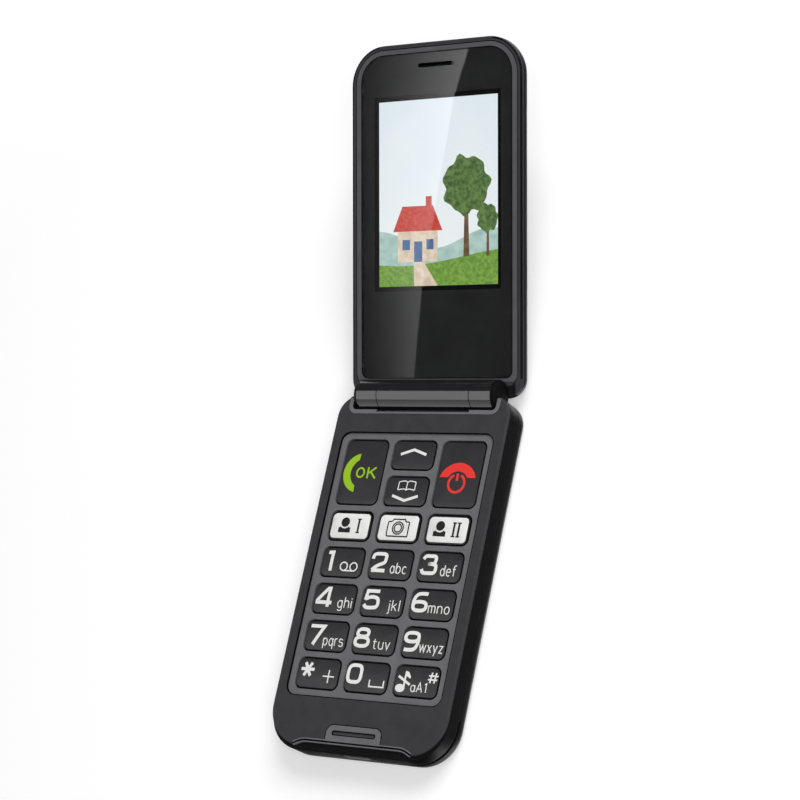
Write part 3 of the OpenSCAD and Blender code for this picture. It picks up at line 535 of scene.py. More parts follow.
SHELL = Plastic("satin_front_grey", "3e3d3f", 0.42, grain=7000, relief=0.1, edge=0.12, wear_and_highlight=0.3, gloss=0.45)
LID_SHELL = Plastic("satin_lid_grey", "3c3b3d", grain=7000, relief=0.1, edge=0.15, wear_and_highlight=0.4, gloss=0.4)
TRIM = Plastic("satin_trim_grey", "6a696b", 0.38, relief=0.1, edge=0.12, wear_and_highlight=0.3, gloss=0.45, flake=0.12)
LID_TRIM = Plastic("satin_bezel_grey", "575658", relief=0.08, wear_and_highlight=0.25, gloss=0.4, flake=0.08)
# Light grey of the tail bead's ridges and the bay strip: painted highlight.
HIGHLIGHT_GREY = Plastic("satin_bead_grey", "6f6e70", 0.35, edge=0.05, wear_and_highlight=0.3)
# Black laid in grooves, round slots and on the lid's rounded edge: painted shade.
SHADE_BLACK = Plastic("soft_seal_black", "080809", 0.75, grain=5000, relief=0.2, edge=0.05, wear_and_highlight=0.15, gloss=0.1)
# Light grey of the port's rim: a painted glint.
PORT_RIM_GLINT = Plastic("plated_rim_grey", "8a8b8d", 0.3, grain=9000, relief=0.03, edge=0.05, gloss=0.6)
WEAVE = Plastic("woven_cloth_grey", "48484a", 0.6, grain=5000, relief=0.3, edge=0.03, wear_and_highlight=0.3, gloss=0.2)
BARREL = Plastic("polished_barrel_grey", "1b1a1c", 0.12, 0.02, grain=9000, relief=0.01, gloss=0.7, coat=0.5)
CAP = Plastic("matt_cap_black", "111112", 0.55, wear_and_highlight=0.2, gloss=0.15)
SIDE = Plastic("satin_side_black", "141315", wear_and_highlight=0.3)
COVER = Plastic("satin_cover_black", "242326", 0.38, relief=0.06, wear_and_highlight=0.35)
KEY = Plastic("satin_key_black", "302f31", 0.36, relief=0.06, edge=0.08)
KEY_RIM = Plastic("gloss_key_rim", "1d1c1e", 0.25, relief=0.04, edge=0.08)
# Painted shade: the flank of each key cap, black like the gap round it.
KEY_GAP_SHADE = Plastic("dark_key_skirt", "0a0a0b", 0.6, edge=0.05, gloss=0.1)
KEY_FACE = Plastic("white_key_face", "eaeae8", edge=0.05, wear_and_highlight=0.0, gloss=0.4)
MESH = Plastic("woven_mesh_black", "060606", 0.6, grain=5000, relief=0.5, edge=0.03, wear_and_highlight=0.2, gloss=0.05)
RUBBER = Plastic("soft_key_rubber", "1a1a1b", 0.7, grain=4000, relief=0.2)
CELL = Plastic("wrapped_cell_grey", "6d7074", 0.5, grain=2500, relief=0.2, edge=0.2, wear_and_highlight=0.2)
TRAY = Plastic("light_tray_white", "e4e4e0", 0.6, grain=5000, relief=0.1)
PRINT_BACK = Plastic("lens_back_print", "414142", 0.6, grain=3000, relief=0.01, edge=0.02, gloss=0.0)
PANEL = Plastic("panel_border_black", "050506", grain=6000, relief=0.02, edge=0.05, gloss=0.05)
STEEL = Metal("drawn_steel", "b9babc")
BRASS = Metal("gilt_contact", "c9a256", rough=0.25)
BOARD = Circuit("board_lacquer_green", "1d4d2c")
FLEX = Circuit("flex_film_amber", "8a5a1c", copper="c07a3a", scale=1500)
LENS = Glass("clear_lens", "ffffff", rough=0.0, haze=0.012)
CAMERA_GLASS = Glass("camera_glass", "30323a", rough=0.02)

SLOT_FINISH: dict[str, Finish] = {
    "side_black": SIDE, "shell_grey": SHELL, "trim_grey": TRIM, "key_black": KEY, "key_white": KEY_FACE,
    "lens_glass": LENS, "lens_print": PRINT_BACK, "display_panel": PANEL, "backlight_white": TRAY,
    "circuit_board": BOARD, "key_rubber": RUBBER, "battery_can": CELL, "contact_brass": BRASS,
    "mesh_black": MESH, "camera_glass": CAMERA_GLASS, "flex_film": FLEX, "steel": STEEL,
}
NODE_FINISH: dict[str, Finish] = {
    "lid_frame": LID_SHELL, "lid_bezel": LID_TRIM, "hinge_cradle": BARREL, "hinge_end_caps": CAP,
    "lid_knuckle": BARREL, "lid_rear_cover": COVER,
}


LEAST_BEND = 0.35  # cosine of half a bend, below which its mitre grows no longer
CURVE_ROUNDS = 3  # times that a curve's corners are cut


@dataclass(frozen=True)
class Stroke:
    """A line along the middle of a printed stroke, a seal or a strip, in millimetres.

    Attributes:
        points: Points of the line.
        closed: Whether it runs round.
    """

    points: tuple[Point, ...]
    closed: bool = False

    def moved(self, scale_x: float, scale_y: float, dx: float, dy: float) -> "Stroke":
        """Gives the stroke scaled and then shifted."""
        return Stroke(tuple((x * scale_x + dx, y * scale_y + dy) for x, y in self.points), self.closed)

    def edges(self, width: float) -> tuple[Outline, Outline]:
        """Finds both edges of the stroke, with mitred bends.

        Args:
            width: Width of the stroke.

        Returns:
            Points of the left and of the right edge.
        """
        points = self.dense()
        count = len(points)
        left: Outline = []
        right: Outline = []
        for i, (x, y) in enumerate(points):
            before = points[i - 1] if i or self.closed else points[i]
            after = points[(i + 1) % count] if i < count - 1 or self.closed else points[i]
            one = (Vector((x, y)) - Vector(before)).normalized()
            two = (Vector(after) - Vector((x, y))).normalized()
            run = (one + two).normalized()
            bend = (1 + one.dot(two)) / 2 if one.length and two.length else 1.0
            reach = width / 2 / max(LEAST_BEND, math.sqrt(max(0.0, bend)))
            left.append((x - run.y * reach, y + run.x * reach))
            right.append((x + run.y * reach, y - run.x * reach))
        return left, right

    def dense(self, step: float = 0.7) -> Outline:
        """Adds points so that long runs can follow a crown.

        Args:
            step: Largest distance between points.

        Returns:
            The points.
        """
        points = list(self.points)
        ends = points[1:] + (points[:1] if self.closed else [])
        out: Outline = []
        for (x0, y0), (x1, y1) in zip(points, ends):
            parts = max(1, math.ceil(math.dist((x0, y0), (x1, y1)) / step))
            out += [(x0 + (x1 - x0) * k / parts, y0 + (y1 - y0) * k / parts) for k in range(parts)]
        return out if self.closed else out + [points[-1]]


def line(*flat: float) -> Stroke:
    """Makes an angular stroke from x and y in turn."""
    return Stroke(tuple(zip(flat[::2], flat[1::2])))


def curve(*flat: float) -> Stroke:
    """Makes a stroke that rounds the corners of its points.

    Args:
        *flat: Points as x and y in turn.

    Returns:
        The stroke.
    """
    points = list(zip(flat[::2], flat[1::2]))
    for _ in range(CURVE_ROUNDS):
        cut = [points[0]]
        for (x0, y0), (x1, y1) in zip(points, points[1:]):
            cut.append((0.75 * x0 + 0.25 * x1, 0.75 * y0 + 0.25 * y1))
            cut.append((0.25 * x0 + 0.75 * x1, 0.25 * y0 + 0.75 * y1))
        points = cut + [points[-1]]
    return Stroke(tuple(points))


def arc(x: float, y: float, rx: float, ry: float, start: float, end: float, steps: int = 14) -> Stroke:
    """Makes a stroke along part of an ellipse, between two angles in degrees."""
    turns = [math.radians(start + (end - start) * i / steps) for i in range(steps + 1)]
    return Stroke(tuple((x + rx * math.cos(t), y + ry * math.sin(t)) for t in turns))


def oval(x: float, y: float, rx: float, ry: float, power: float = 2.0, steps: int = 28) -> Stroke:
    """Makes a closed oval.

    Args:
        x: Its middle along x.
        y: Its middle along y.
        rx: Half width.
        ry: Half height.
        power: Two for an ellipse, higher for a squarer oval.
        steps: Steps round it.

    Returns:
        The stroke.
    """
    points: Outline = []
    for i in range(steps):
        c, s = math.cos(math.tau * i / steps), math.sin(math.tau * i / steps)
        across, up = (math.copysign(abs(part) ** (2 / power), part) for part in (c, s))
        points.append((x + rx * across, y + ry * up))
    return Stroke(tuple(points), True)


def bar(half: float, low: float, high: float, middle: float = 0.0) -> list[Point]:
    """Draws the section of a flat strip with its upper corners broken.

    Args:
        half: Half width.
        low: Height of its underside.
        high: Height of its top.
        middle: Distance of its middle from the path.

    Returns:
        The section's points.
    """
    cut = min(half, high - low) * 0.3
    left, right = middle - half, middle + half
    rising = [(left, low), (left, high - cut), (left + cut, high)]
    return rising + [(right - cut, high), (right, high - cut), (right, low)]


def loop(half_x: float, low: float, high: float, low_r: float, high_r: float, steps: int = 10) -> Stroke:
    """Makes a closed stroke round a rectangle with its own corner radius at each end.

    Args:
        half_x: Half width.
        low: Lower end along y.
        high: Upper end along y.
        low_r: Corner radius at the lower end.
        high_r: Corner radius at the upper end.
        steps: Steps round each corner.

    Returns:
        The stroke.
    """
    points: Outline = []
    for turn, (sx, y, r) in enumerate(((1, high - high_r, high_r), (-1, high - high_r, high_r),
                                       (-1, low + low_r, low_r), (1, low + low_r, low_r))):
        points += arc(sx * (half_x - r), y, r, r, 90 * turn, 90 * turn + 90, steps).points
    return Stroke(tuple(points), True)


def rounded(half_x: float, half_y: float, radius: float, steps: int = 8) -> Stroke:
    """Makes a closed stroke round a rectangle about the middle, with four equal corners."""
    return loop(half_x, -half_y, half_y, radius, radius, steps)


MERGE = 1e-5  # distance in millimetres within which points are one


@dataclass
class Body:
    """A mesh in the making, in millimetres, that becomes one piece.

    Attributes:
        name: Name of the piece.
        place: Place of the mesh in the shared frame.
    """

    name: str
    place: Matrix

    def __post_init__(self) -> None:
        """Starts an empty mesh."""
        self.mesh = bmesh.new()

    def ring(self, points: Sequence[tuple[float, float, float]]) -> Ring:
        """Adds a loop of points and gives its vertices."""
        return [self.mesh.verts.new(point) for point in points]

    def skin(self, rings: Sequence[Ring], closed: bool = True, slot: int = 0) -> None:
        """Joins loops of equal length by faces.

        Args:
            rings: Loops from one end to the other.
            closed: Whether each loop runs round.
            slot: Material slot of the faces.
        """
        for one, two in zip(rings, rings[1:]):
            last = len(one) if closed else len(one) - 1
            for i in range(last):
                j = (i + 1) % len(one)
                self.mesh.faces.new((one[i], one[j], two[j], two[i])).material_index = slot

    def cap(self, ring: Ring, slot: int = 0) -> None:
        """Closes a loop with one face."""
        self.mesh.faces.new(ring).material_index = slot

    def solid(self, rings: Sequence[Ring], slot: int = 0) -> None:
        """Joins loops by faces and closes the first and the last one.

        Args:
            rings: Loops from one end to the other.
            slot: Material slot of the faces.
        """
        self.skin(rings, slot=slot)
        self.cap(rings[0], slot)
        self.cap(rings[-1], slot)

    def sweep(self, rings: Sequence[Ring], closed: bool, slot: int) -> None:
        """Joins lines round a section, and closes the ends where they don't run round.

        Args:
            rings: Lines, one for each point of the section.
            closed: Whether each line runs round.
            slot: Material slot of the faces.
        """
        self.skin(rings + rings[:1], closed, slot)
        for end in () if closed else (0, -1):
            self.cap([ring[end] for ring in rings], slot)

    def strip(self, path: Stroke, section: Sequence[Point], slot: int = 0) -> None:
        """Sweeps a section, as distances to the left of a path and heights, along that path."""
        rings = [self.ring([(x, y, height) for x, y in path.edges(2 * side)[0]]) for side, height in section]
        self.sweep(rings, path.closed, slot)

    def piece(self, finishes: Sequence[Finish], body: str, slot: str, smooth: float = 40.0) -> Piece:
        """Turns the mesh into a piece that rides on a CAD body.

        Args:
            finishes: Finish of each material slot.
            body: Body that carries the piece.
            slot: Material slot of the record; not used.
            smooth: Largest angle that is shaded smooth, in degrees.

        Returns:
            The new object.
        """
        bmesh.ops.remove_doubles(self.mesh, verts=self.mesh.verts, dist=MERGE)
        bmesh.ops.recalc_face_normals(self.mesh, faces=self.mesh.faces)
        self.mesh.transform(self.place @ Matrix.Scale(MM, 4))
        data = bpy.data.meshes.new(self.name)
        self.mesh.to_mesh(data)
        self.mesh.free()
        data.shade_smooth()
        data.set_sharp_from_angle(angle=math.radians(smooth))
        for finish in finishes:
            data.materials.append(finish.material())
        made = bpy.data.objects.new(self.name, data)
        bpy.context.scene.collection.objects.link(made)
        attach(made, body)
        log.info("piece %s: %d faces on %s", self.name, len(data.polygons), body)
        return made


class Tint(Enum):
    """Inks of the key legends."""

    WHITE = Ink("white_legend", "eeeeec")
    GREEN = Ink("green_legend", "9cc829")
    RED = Ink("red_legend", "ee3d38")
    DARK = Ink("dark_legend", "2b2b2d")


DIGIT_SCALE = (0.05, 0.0545)  # millimetres of a large digit for each step of its grid
DIGIT_STROKE = 0.94  # width of its lines in millimetres
WORD_STROKE = 0.26  # width of the lines of small letters in millimetres
LETTER_GAP = 28  # room between small letters, in steps of their grid
LAST_GAP = 20  # what of it is left out after the last letter
DIGITS: dict[str, list[Stroke]] = {
    "1": [line(4, 90, 30, 90), line(32, 100, 32, 0)],
    "2": [curve(10, 66, 11, 90, 50, 93, 89, 90, 89, 66, 86, 48, 40, 34, 12, 11), line(10, 10.5, 92, 10.5)],
    "3": [curve(12, 76, 20, 93, 50, 92, 86, 93, 85, 56, 60, 54, 44, 54),
          curve(44, 54, 70, 54, 94, 50, 92, 10, 50, 10, 18, 9, 9, 28)],
    "4": [line(77, 0, 77, 90, 66, 90, 10, 30, 10, 21, 100, 21)],
    "5": [line(90, 90, 18, 90, 13, 46), curve(13, 50, 36, 60, 62, 62, 92, 54, 92, 12, 50, 9, 20, 9, 8, 24)],
    "6": [curve(88, 90, 60, 92, 26, 88, 11, 62, 10, 34), oval(50, 31, 39, 21, 2.6)],
    "7": [line(4, 90, 88, 90, 34, 0)],
    "8": [oval(50, 73, 33, 18, 2.5), oval(50, 31, 40, 21, 2.6)],
    "0": [oval(50, 50, 39, 40, 3.4, 40)],
}
DIGITS["9"] = [stroke.moved(-1, -1, 100, 100) for stroke in DIGITS["6"]]

LETTERS: dict[str, list[Stroke]] = {
    "a": [oval(40, 48, 32, 48), line(72, 98, 72, 0)],
    "b": [line(8, 145, 8, 0), oval(42, 48, 34, 48)],
    "c": [arc(42, 48, 34, 48, 48, 312)],
    "d": [oval(40, 48, 32, 48), line(72, 145, 72, 0)],
    "e": [line(8, 52, 74, 52), arc(42, 48, 34, 48, 5, 312)],
    "f": [arc(50, 118, 26, 26, 70, 180), line(24, 118, 24, 0), line(4, 95, 48, 95)],
    "g": [oval(40, 48, 32, 48), line(72, 98, 72, -14), arc(40, -14, 32, 28, 0, -150)],
    "h": [line(8, 145, 8, 0), arc(40, 60, 32, 38, 180, 0), line(72, 60, 72, 0)],
    "i": [line(8, 98, 8, 0), line(8, 134, 8, 118)],
    "j": [line(22, 98, 22, -16), arc(2, -16, 20, 24, 0, -100), line(22, 134, 22, 118)],
    "k": [line(8, 145, 8, 0), line(62, 98, 10, 44), line(28, 60, 66, 0)],
    "l": [line(8, 145, 8, 0)],
    "m": [line(8, 98, 8, 0), arc(32, 62, 24, 36, 180, 0), line(56, 62, 56, 0), arc(80, 62, 24, 36, 180, 0),
          line(104, 62, 104, 0)],
    "n": [line(8, 98, 8, 0), arc(40, 60, 32, 38, 180, 0), line(72, 60, 72, 0)],
    "o": [oval(42, 48, 34, 48)],
    "p": [line(8, 98, 8, -42), oval(42, 48, 34, 48)],
    "q": [oval(40, 48, 32, 48), line(72, 98, 72, -42)],
    "r": [line(8, 98, 8, 0), arc(40, 60, 32, 38, 180, 75)],
    "s": [curve(66, 82, 48, 98, 12, 96, 8, 58, 40, 52, 74, 44, 68, -2, 30, -2, 6, 14)],
    "t": [line(24, 130, 24, 20), arc(44, 20, 20, 20, 180, 290), line(2, 95, 52, 95)],
    "u": [line(8, 98, 8, 36), arc(40, 36, 32, 38, 180, 360), line(72, 98, 72, 0)],
    "v": [line(4, 98, 36, 2, 68, 98)],
    "w": [line(4, 98, 28, 2, 54, 92, 80, 2, 104, 98)],
    "x": [line(4, 98, 64, 0), line(64, 98, 4, 0)],
    "y": [line(4, 98, 36, 4), line(68, 98, 20, -42)],
    "z": [line(4, 94, 60, 94, 8, 4, 64, 4)],
    "A": [line(2, 0, 46, 140, 90, 0), line(20, 46, 72, 46)],
    "1": [line(8, 116, 36, 138, 36, 0)],
}


@dataclass(frozen=True)
class Mark:
    """One printed shape of a legend, between two edges.

    Attributes:
        left: One edge, in millimetres from the key's middle.
        right: The other edge, with as many points.
        closed: Whether both edges run round.
        tint: Ink of the shape.
    """

    left: tuple[Point, ...]
    right: tuple[Point, ...]
    closed: bool = False
    tint: Tint = Tint.WHITE

    def between(self, share: float) -> Outline:
        """Gives the line that runs between both edges at a share of the way."""
        return [(x0 + (x1 - x0) * share, y0 + (y1 - y0) * share)
                for (x0, y0), (x1, y1) in zip(self.left, self.right)]


def inked(strokes: Sequence[Stroke], width: float, tint: Tint = Tint.WHITE) -> list[Mark]:
    """Makes printed shapes from strokes.

    Args:
        strokes: Lines in millimetres from the key's middle.
        width: Width of the lines.
        tint: Their ink.

    Returns:
        One shape for each stroke.
    """
    marks = []
    for stroke in strokes:
        left, right = stroke.edges(width)
        marks.append(Mark(tuple(left), tuple(right), stroke.closed, tint))
    return marks


def patch(left: Stroke, right: Stroke, tint: Tint) -> Mark:
    """Fills the room between two strokes with as many points."""
    return Mark(left.points, right.points, False, tint)


def disc(x: float, y: float, rx: float, ry: float, tint: Tint) -> Mark:
    """Fills an ellipse."""
    return patch(arc(x, y, rx, ry, 180, 0, 24), arc(x, y, rx, ry, 180, 360, 24), tint)


def digit(name: str, x: float, y: float) -> list[Mark]:
    """Prints a large digit with its lower left corner at a point."""
    return inked([stroke.moved(*DIGIT_SCALE, x, y) for stroke in DIGITS[name]], DIGIT_STROKE)


def word(text: str, x: float, y: float, width: float, height: float = 1.9) -> list[Mark]:
    """Prints small letters, fitted to a width.

    Args:
        text: Letters to print.
        x: Left end.
        y: Base line.
        width: Width of the whole word.
        height: Height of its low letters.

    Returns:
        The printed shapes.
    """
    runs: list[tuple[float, Stroke]] = []
    pen = 0.0
    for letter in text:
        runs += [(pen, part) for part in LETTERS[letter]]
        pen += max(px for part in LETTERS[letter] for px, _ in part.points) + LETTER_GAP
    scale = width / (pen - LAST_GAP)
    return inked([part.moved(scale, height / 100, x + left * scale, y) for left, part in runs], WORD_STROKE)


def bust(x: float) -> list[Mark]:
    """Prints the plain head and shoulders of a contact key.

    Args:
        x: Its middle along the key.

    Returns:
        The printed shapes.
    """
    dip = arc(x, 0.93, 1.78, 1.72, 218, 322, 18)
    low = Stroke(tuple((px, -1.85) for px, _ in dip.points))
    marks = [disc(x, 0.93, 1.3, 1.3, Tint.DARK), patch(dip, low, Tint.DARK)]
    for side in (-1, 1):
        outer, inner = x + side * 1.85, x + side * 1.38
        marks.append(patch(line(outer, -0.5, inner, -0.5), line(outer, -1.85, inner, -1.85), Tint.DARK))
    return marks


def roman(x: float) -> list[Mark]:
    """Prints one upright numeral stroke with its two serifs."""
    serifs = [line(x - 0.56, y, x + 0.56, y) for y in (1.85, -1.75)]
    return inked([line(x, 1.9, x, -1.8)], 0.56, Tint.DARK) + inked(serifs, 0.36, Tint.DARK)


LETTERED = (  # digit and its lower left corner, then letters, their left end, base line and width
    ("2", (-6.0, -2.25), ("abc", 0.2, -2.2, 4.9)),
    ("3", (-5.75, -2.25), ("def", 0.4, -2.2, 4.7)),
    ("4", (-5.6, -2.2), ("ghi", 1.3, -2.15, 4.4)),
    ("5", (-5.85, -2.2), ("jkl", 1.9, -2.15, 3.6)),
    ("6", (-6.1, -2.2), ("mno", -0.95, -2.1, 6.4)),
    ("7", (-5.4, -2.45), ("pqrs", -0.6, -2.4, 6.2)),
    ("8", (-6.2, -2.45), ("tuv", -0.2, -2.35, 5.2)),
    ("9", (-6.25, -2.45), ("wxyz", -1.15, -2.3, 7.0)),
)


def handset() -> list[Mark]:
    """Prints the call key's handset with its word.

    Returns:
        The printed shapes.
    """
    outer = arc(-0.31, -0.25, 5.4, 5.4, 102, 258, 26)
    inner = arc(0.63, -0.25, 4.09, 4.09, 120.3, 239.7, 26)
    letters = [oval(-0.35, -0.2, 1.14, 1.24), line(1.95, 1.3, 1.95, -1.7), line(4.3, 1.3, 2.1, -0.35),
               line(2.75, 0.1, 4.45, -1.7)]
    return [patch(outer, inner, Tint.GREEN)] + inked(letters, 0.5, Tint.GREEN)


def hang_up() -> list[Mark]:
    """Prints the end key's lying handset over its power sign.

    Returns:
        The printed shapes.
    """
    outer = arc(-0.2, -2.57, 5.67, 5.67, 162.5, 17.5, 30)
    inner = arc(-0.2, -2.5, 3.3, 3.3, 150.2, 29.8, 30)
    power = [arc(-0.2, -2.45, 2.36, 2.36, 115, 425, 34), line(-0.2, 0.15, -0.2, -1.75)]
    return [patch(outer, inner, Tint.RED)] + inked(power, 0.68, Tint.RED)


def book() -> list[Mark]:
    """Prints the open phone book of the down key.

    Returns:
        The printed shapes.
    """
    left = [curve(0, 0.25, -0.5, 0.62, -1.6, 0.5, -2.55, 0.3), line(-2.55, 0.3, -2.55, 2.5),
            curve(-2.55, 2.5, -1.6, 2.75, -0.5, 2.8, 0, 2.4)]
    right = [stroke.moved(-1, 1, 0, 0) for stroke in left]
    return inked(left + [line(0, 2.4, 0, 0.25)] + right, 0.26)


def camera() -> list[Mark]:
    """Prints the outline of a camera.

    Returns:
        The printed shapes.
    """
    side = curve(2.1, 1.6, 3.1, 1.62, 3.2, 1.2, 3.2, -1.9, 3.1, -2.3, 2.7, -2.3, 0, -2.3)
    hood = line(-2.1, 1.6, -1.75, 2.25, 1.75, 2.25, 2.1, 1.6)
    rings = [oval(0, -0.1, radius, radius) for radius in (1.62, 1.08)]
    return inked([hood, side, side.moved(-1, 1, 0, 0)] + rings, 0.36, Tint.DARK)


def star() -> list[Mark]:
    """Prints the star key's star and plus.

    Returns:
        The printed shapes.
    """
    rays = [line(-5.3, 0.93, -1.25, 0.93), line(-4.3, 2.65, -2.25, -0.8), line(-2.25, 2.65, -4.3, -0.8)]
    plus = [line(1.7, -0.6, 5.1, -0.6), line(3.4, 1.1, 3.4, -2.3)]
    return inked(rays, 0.82) + inked(plus, 0.34)


def hash_signs() -> list[Mark]:
    """Prints the hash key's crossed note, letter cases and hash.

    Returns:
        The printed shapes.
    """
    upper, lower = line(-3.5, 2.5, -2.6, 2.35, -1.7, 1.0), line(-3.5, 1.35, -2.9, 1.15, -1.95, 0.65)
    note = [disc(-4.45, -1.9, 1.4, 1.02, Tint.WHITE), patch(upper, lower, Tint.WHITE)]
    note += inked([line(-3.35, 2.5, -3.35, -1.8)], 0.5)
    cross = inked([line(-5.4, 1.1, -1.7, -0.9)], 0.62)
    bars = [line(4.2, 2.6, 3.95, -0.1), line(5.4, 2.6, 5.15, -0.1), line(3.4, 1.75, 6.0, 1.75),
            line(3.3, 0.75, 5.9, 0.75)]
    return note + cross + word("aA1", -1.35, -2.55, 4.7, 1.65) + inked(bars, 0.4)


def legends() -> dict[str, list[Mark]]:
    """Lays out the legend of every key.

    Returns:
        Printed shapes by key.
    """
    reels = [oval(x, -1.1, 1.08, 1.08) for x in (0.8, 3.8)]
    return {
        "call_key": handset(),
        "up_key": inked([line(-3.9, 0.15, 0, 1.45, 3.9, 0.15)], 0.72),
        "down_key": inked([line(-3.9, -1.25, 0, -2.5, 3.9, -1.25)], 0.72) + book(),
        "end_key": hang_up(),
        "contact_key_1": bust(-1.57) + roman(2.65),
        "camera_key": camera(),
        "contact_key_2": bust(-2.2) + roman(1.9) + roman(3.3),
        "key_1": digit("1", -4.9, -2.4) + inked(reels + [line(0.7, -2.2, 3.9, -2.2)], 0.34),
        **{f"key_{name}": digit(name, *corner) + word(*letters) for name, corner, letters in LETTERED},
        "key_star": star(),
        "key_0": digit("0", -6.2, -1.95) + inked([line(1.2, -0.5, 1.2, -2.2, 5.4, -2.2, 5.4, -0.5)], 0.36),
        "key_hash": hash_signs(),
    }


@dataclass
class Key:
    """One crowned key with its printed legend.

    Attributes:
        node: CAD node and body of the key.
        marks: Printed shapes on its top.
        pale: Whether it carries a white face plate.
        flange: Reach of the flange beyond the cap, in millimetres.
        flange_t: Thickness of the flange.
        corner: Corner radius of the cap.
        edge: Rounding of its upper edge.
        crown_x: Fall of the crown at the sides.
        crown_y: Fall of the crown at head and foot.
        cover: Thickness kept for plate and print under the CAD key's top.
        crest: Rings of the cap, from its middle, that lie above its flank, which is painted black as the shade of
            the gap round the key.
        shares: Shares of the flat top's size at its rings.
        bends: Rings on the rounded edge.
        face_inset: Distance of a face plate from the cap's sides, and from its head and foot.
        face_r: Corner radius of the plate.
        face_rise: How far the plate stands above the crown.
        print_rise: How far print stands above the crown, on the cap and on a plate.
        print_t: Thickness of the print.
        print_step: Largest distance between points across the print.
    """

    node: str
    marks: list[Mark]
    pale: bool = False
    flange: float = 0.66
    flange_t: float = 0.45
    corner: float = 1.75
    edge: float = 0.42
    crown_x: float = 0.08
    crown_y: float = 0.26
    cover: float = 0.06
    crest: int = 8
    shares: tuple[float, ...] = (0.08, 0.3, 0.5, 0.7, 0.86, 1.0)
    bends: int = 5
    face_inset: Point = (0.62, 0.58)
    face_r: float = 1.15
    face_rise: float = 0.04
    print_rise: Point = (0.02, 0.055)
    print_t: float = 0.05
    print_step: float = 0.6

    def __post_init__(self) -> None:
        """Takes place and size from the CAD key."""
        low, high = (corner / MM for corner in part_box(self.node))
        self.half_x = (high.x - low.x) / 2 - self.flange
        self.half_y = (high.y - low.y) / 2 - self.flange
        self.low = low.z
        self.top = high.z - self.cover
        self.place = Matrix.Translation(Vector(((low.x + high.x) / 2, (low.y + high.y) / 2, 0)) * MM)

    def crown(self, x: float, y: float) -> float:
        """Gives the height of the crowned top at a point."""
        return self.top - self.crown_x * (x / self.half_x) ** 2 - self.crown_y * (y / self.half_y) ** 2

    def build(self) -> Piece:
        """Makes cap, face plate and legend.

        Returns:
            The cap.
        """
        cap = self._cap()
        if self.pale:
            self._plate()
        self._legend()
        return cap

    def _outline(self, inset: float) -> tuple[Point, ...]:
        """Gives the cap's outline, set in from its sides."""
        return rounded(self.half_x - inset, self.half_y - inset, self.corner - inset).points

    def _cap(self) -> Piece:
        """Makes the crowned cap with its retaining flange, whose flank and flange are painted black as the shade
        of the gap round the key.

        Returns:
            The cap.
        """
        body = Body(f"{self.node}_cap", self.place)
        inner = self._outline(self.edge)
        rings = [body.ring([(x * s, y * s, self.crown(x * s, y * s)) for x, y in inner]) for s in self.shares]
        for step in range(1, self.bends + 1):
            angle = math.pi / 2 * step / self.bends
            inset = self.edge * (1 - math.sin(angle))
            fall = self.edge * (1 - math.cos(angle))
            rings.append(body.ring([(x, y, self.crown(x, y) - fall) for x, y in self._outline(inset)]))
        wall, lip = self._outline(0), self._outline(-self.flange)
        rings.append(body.ring([(x, y, self.low + self.flange_t) for x, y in wall]))
        rings.append(body.ring([(x, y, self.low + self.flange_t) for x, y in lip]))
        rings.append(body.ring([(x, y, self.low) for x, y in lip]))
        body.skin(rings[:self.crest])
        # Below the crest the cap is painted black: painted shade of the gap round the key.
        body.skin(rings[self.crest - 1:], slot=1)
        body.cap(rings[0])
        body.cap(rings[-1], 1)
        made = body.piece([KEY_RIM if self.pale else KEY, KEY_GAP_SHADE], self.node, "key_black")
        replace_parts(made, self.node)
        return made

    def _plate(self) -> None:
        """Makes the white face plate on the crown."""
        body = Body(f"{self.node}_face", self.place)
        inset_x, inset_y = self.face_inset
        outline = rounded(self.half_x - inset_x, self.half_y - inset_y, self.face_r).points
        levels = [(share, self.face_rise) for share in (0.08, 0.35, 0.65, 0.985)]
        levels += [(0.995, 0.03), (1.0, 0.0), (1.0, -0.1)]
        body.solid([body.ring([(x * s, y * s, self.crown(x * s, y * s) + lift) for x, y in outline])
                    for s, lift in levels])
        body.piece([KEY_FACE], self.node, "key_white")

    def _legend(self) -> None:
        """Makes the legend as thin print that follows the crown."""
        rise = self.print_rise[self.pale]
        body = Body(f"{self.node}_legend", self.place)
        tints = sorted({mark.tint for mark in self.marks}, key=lambda tint: tint.name)
        for mark in self.marks:
            slot = tints.index(mark.tint)
            rows = max(1, math.ceil(max(map(math.dist, mark.left, mark.right)) / self.print_step))
            top = [(row / rows, 0.0) for row in range(rows + 1)]
            shares = [(0.0, -self.print_t)] + top + [(1.0, -self.print_t)]
            rings = [body.ring([(x, y, self.crown(x, y) + rise + lift) for x, y in mark.between(share)])
                     for share, lift in shares]
            body.sweep(rings, mark.closed, slot)
        body.piece([tint.value for tint in tints], self.node, "key_white", 30)


@dataclass
class Keypad:
    """All keys with their legends.

    Attributes:
        pale: Keys with a white face plate.
    """

    pale: tuple[str, ...] = ("contact_key_1", "camera_key", "contact_key_2")

    def build(self) -> list[Piece]:
        """Builds every key that has a legend, and gives the caps."""
        return [Key(node, marks, node in self.pale).build() for node, marks in legends().items()]


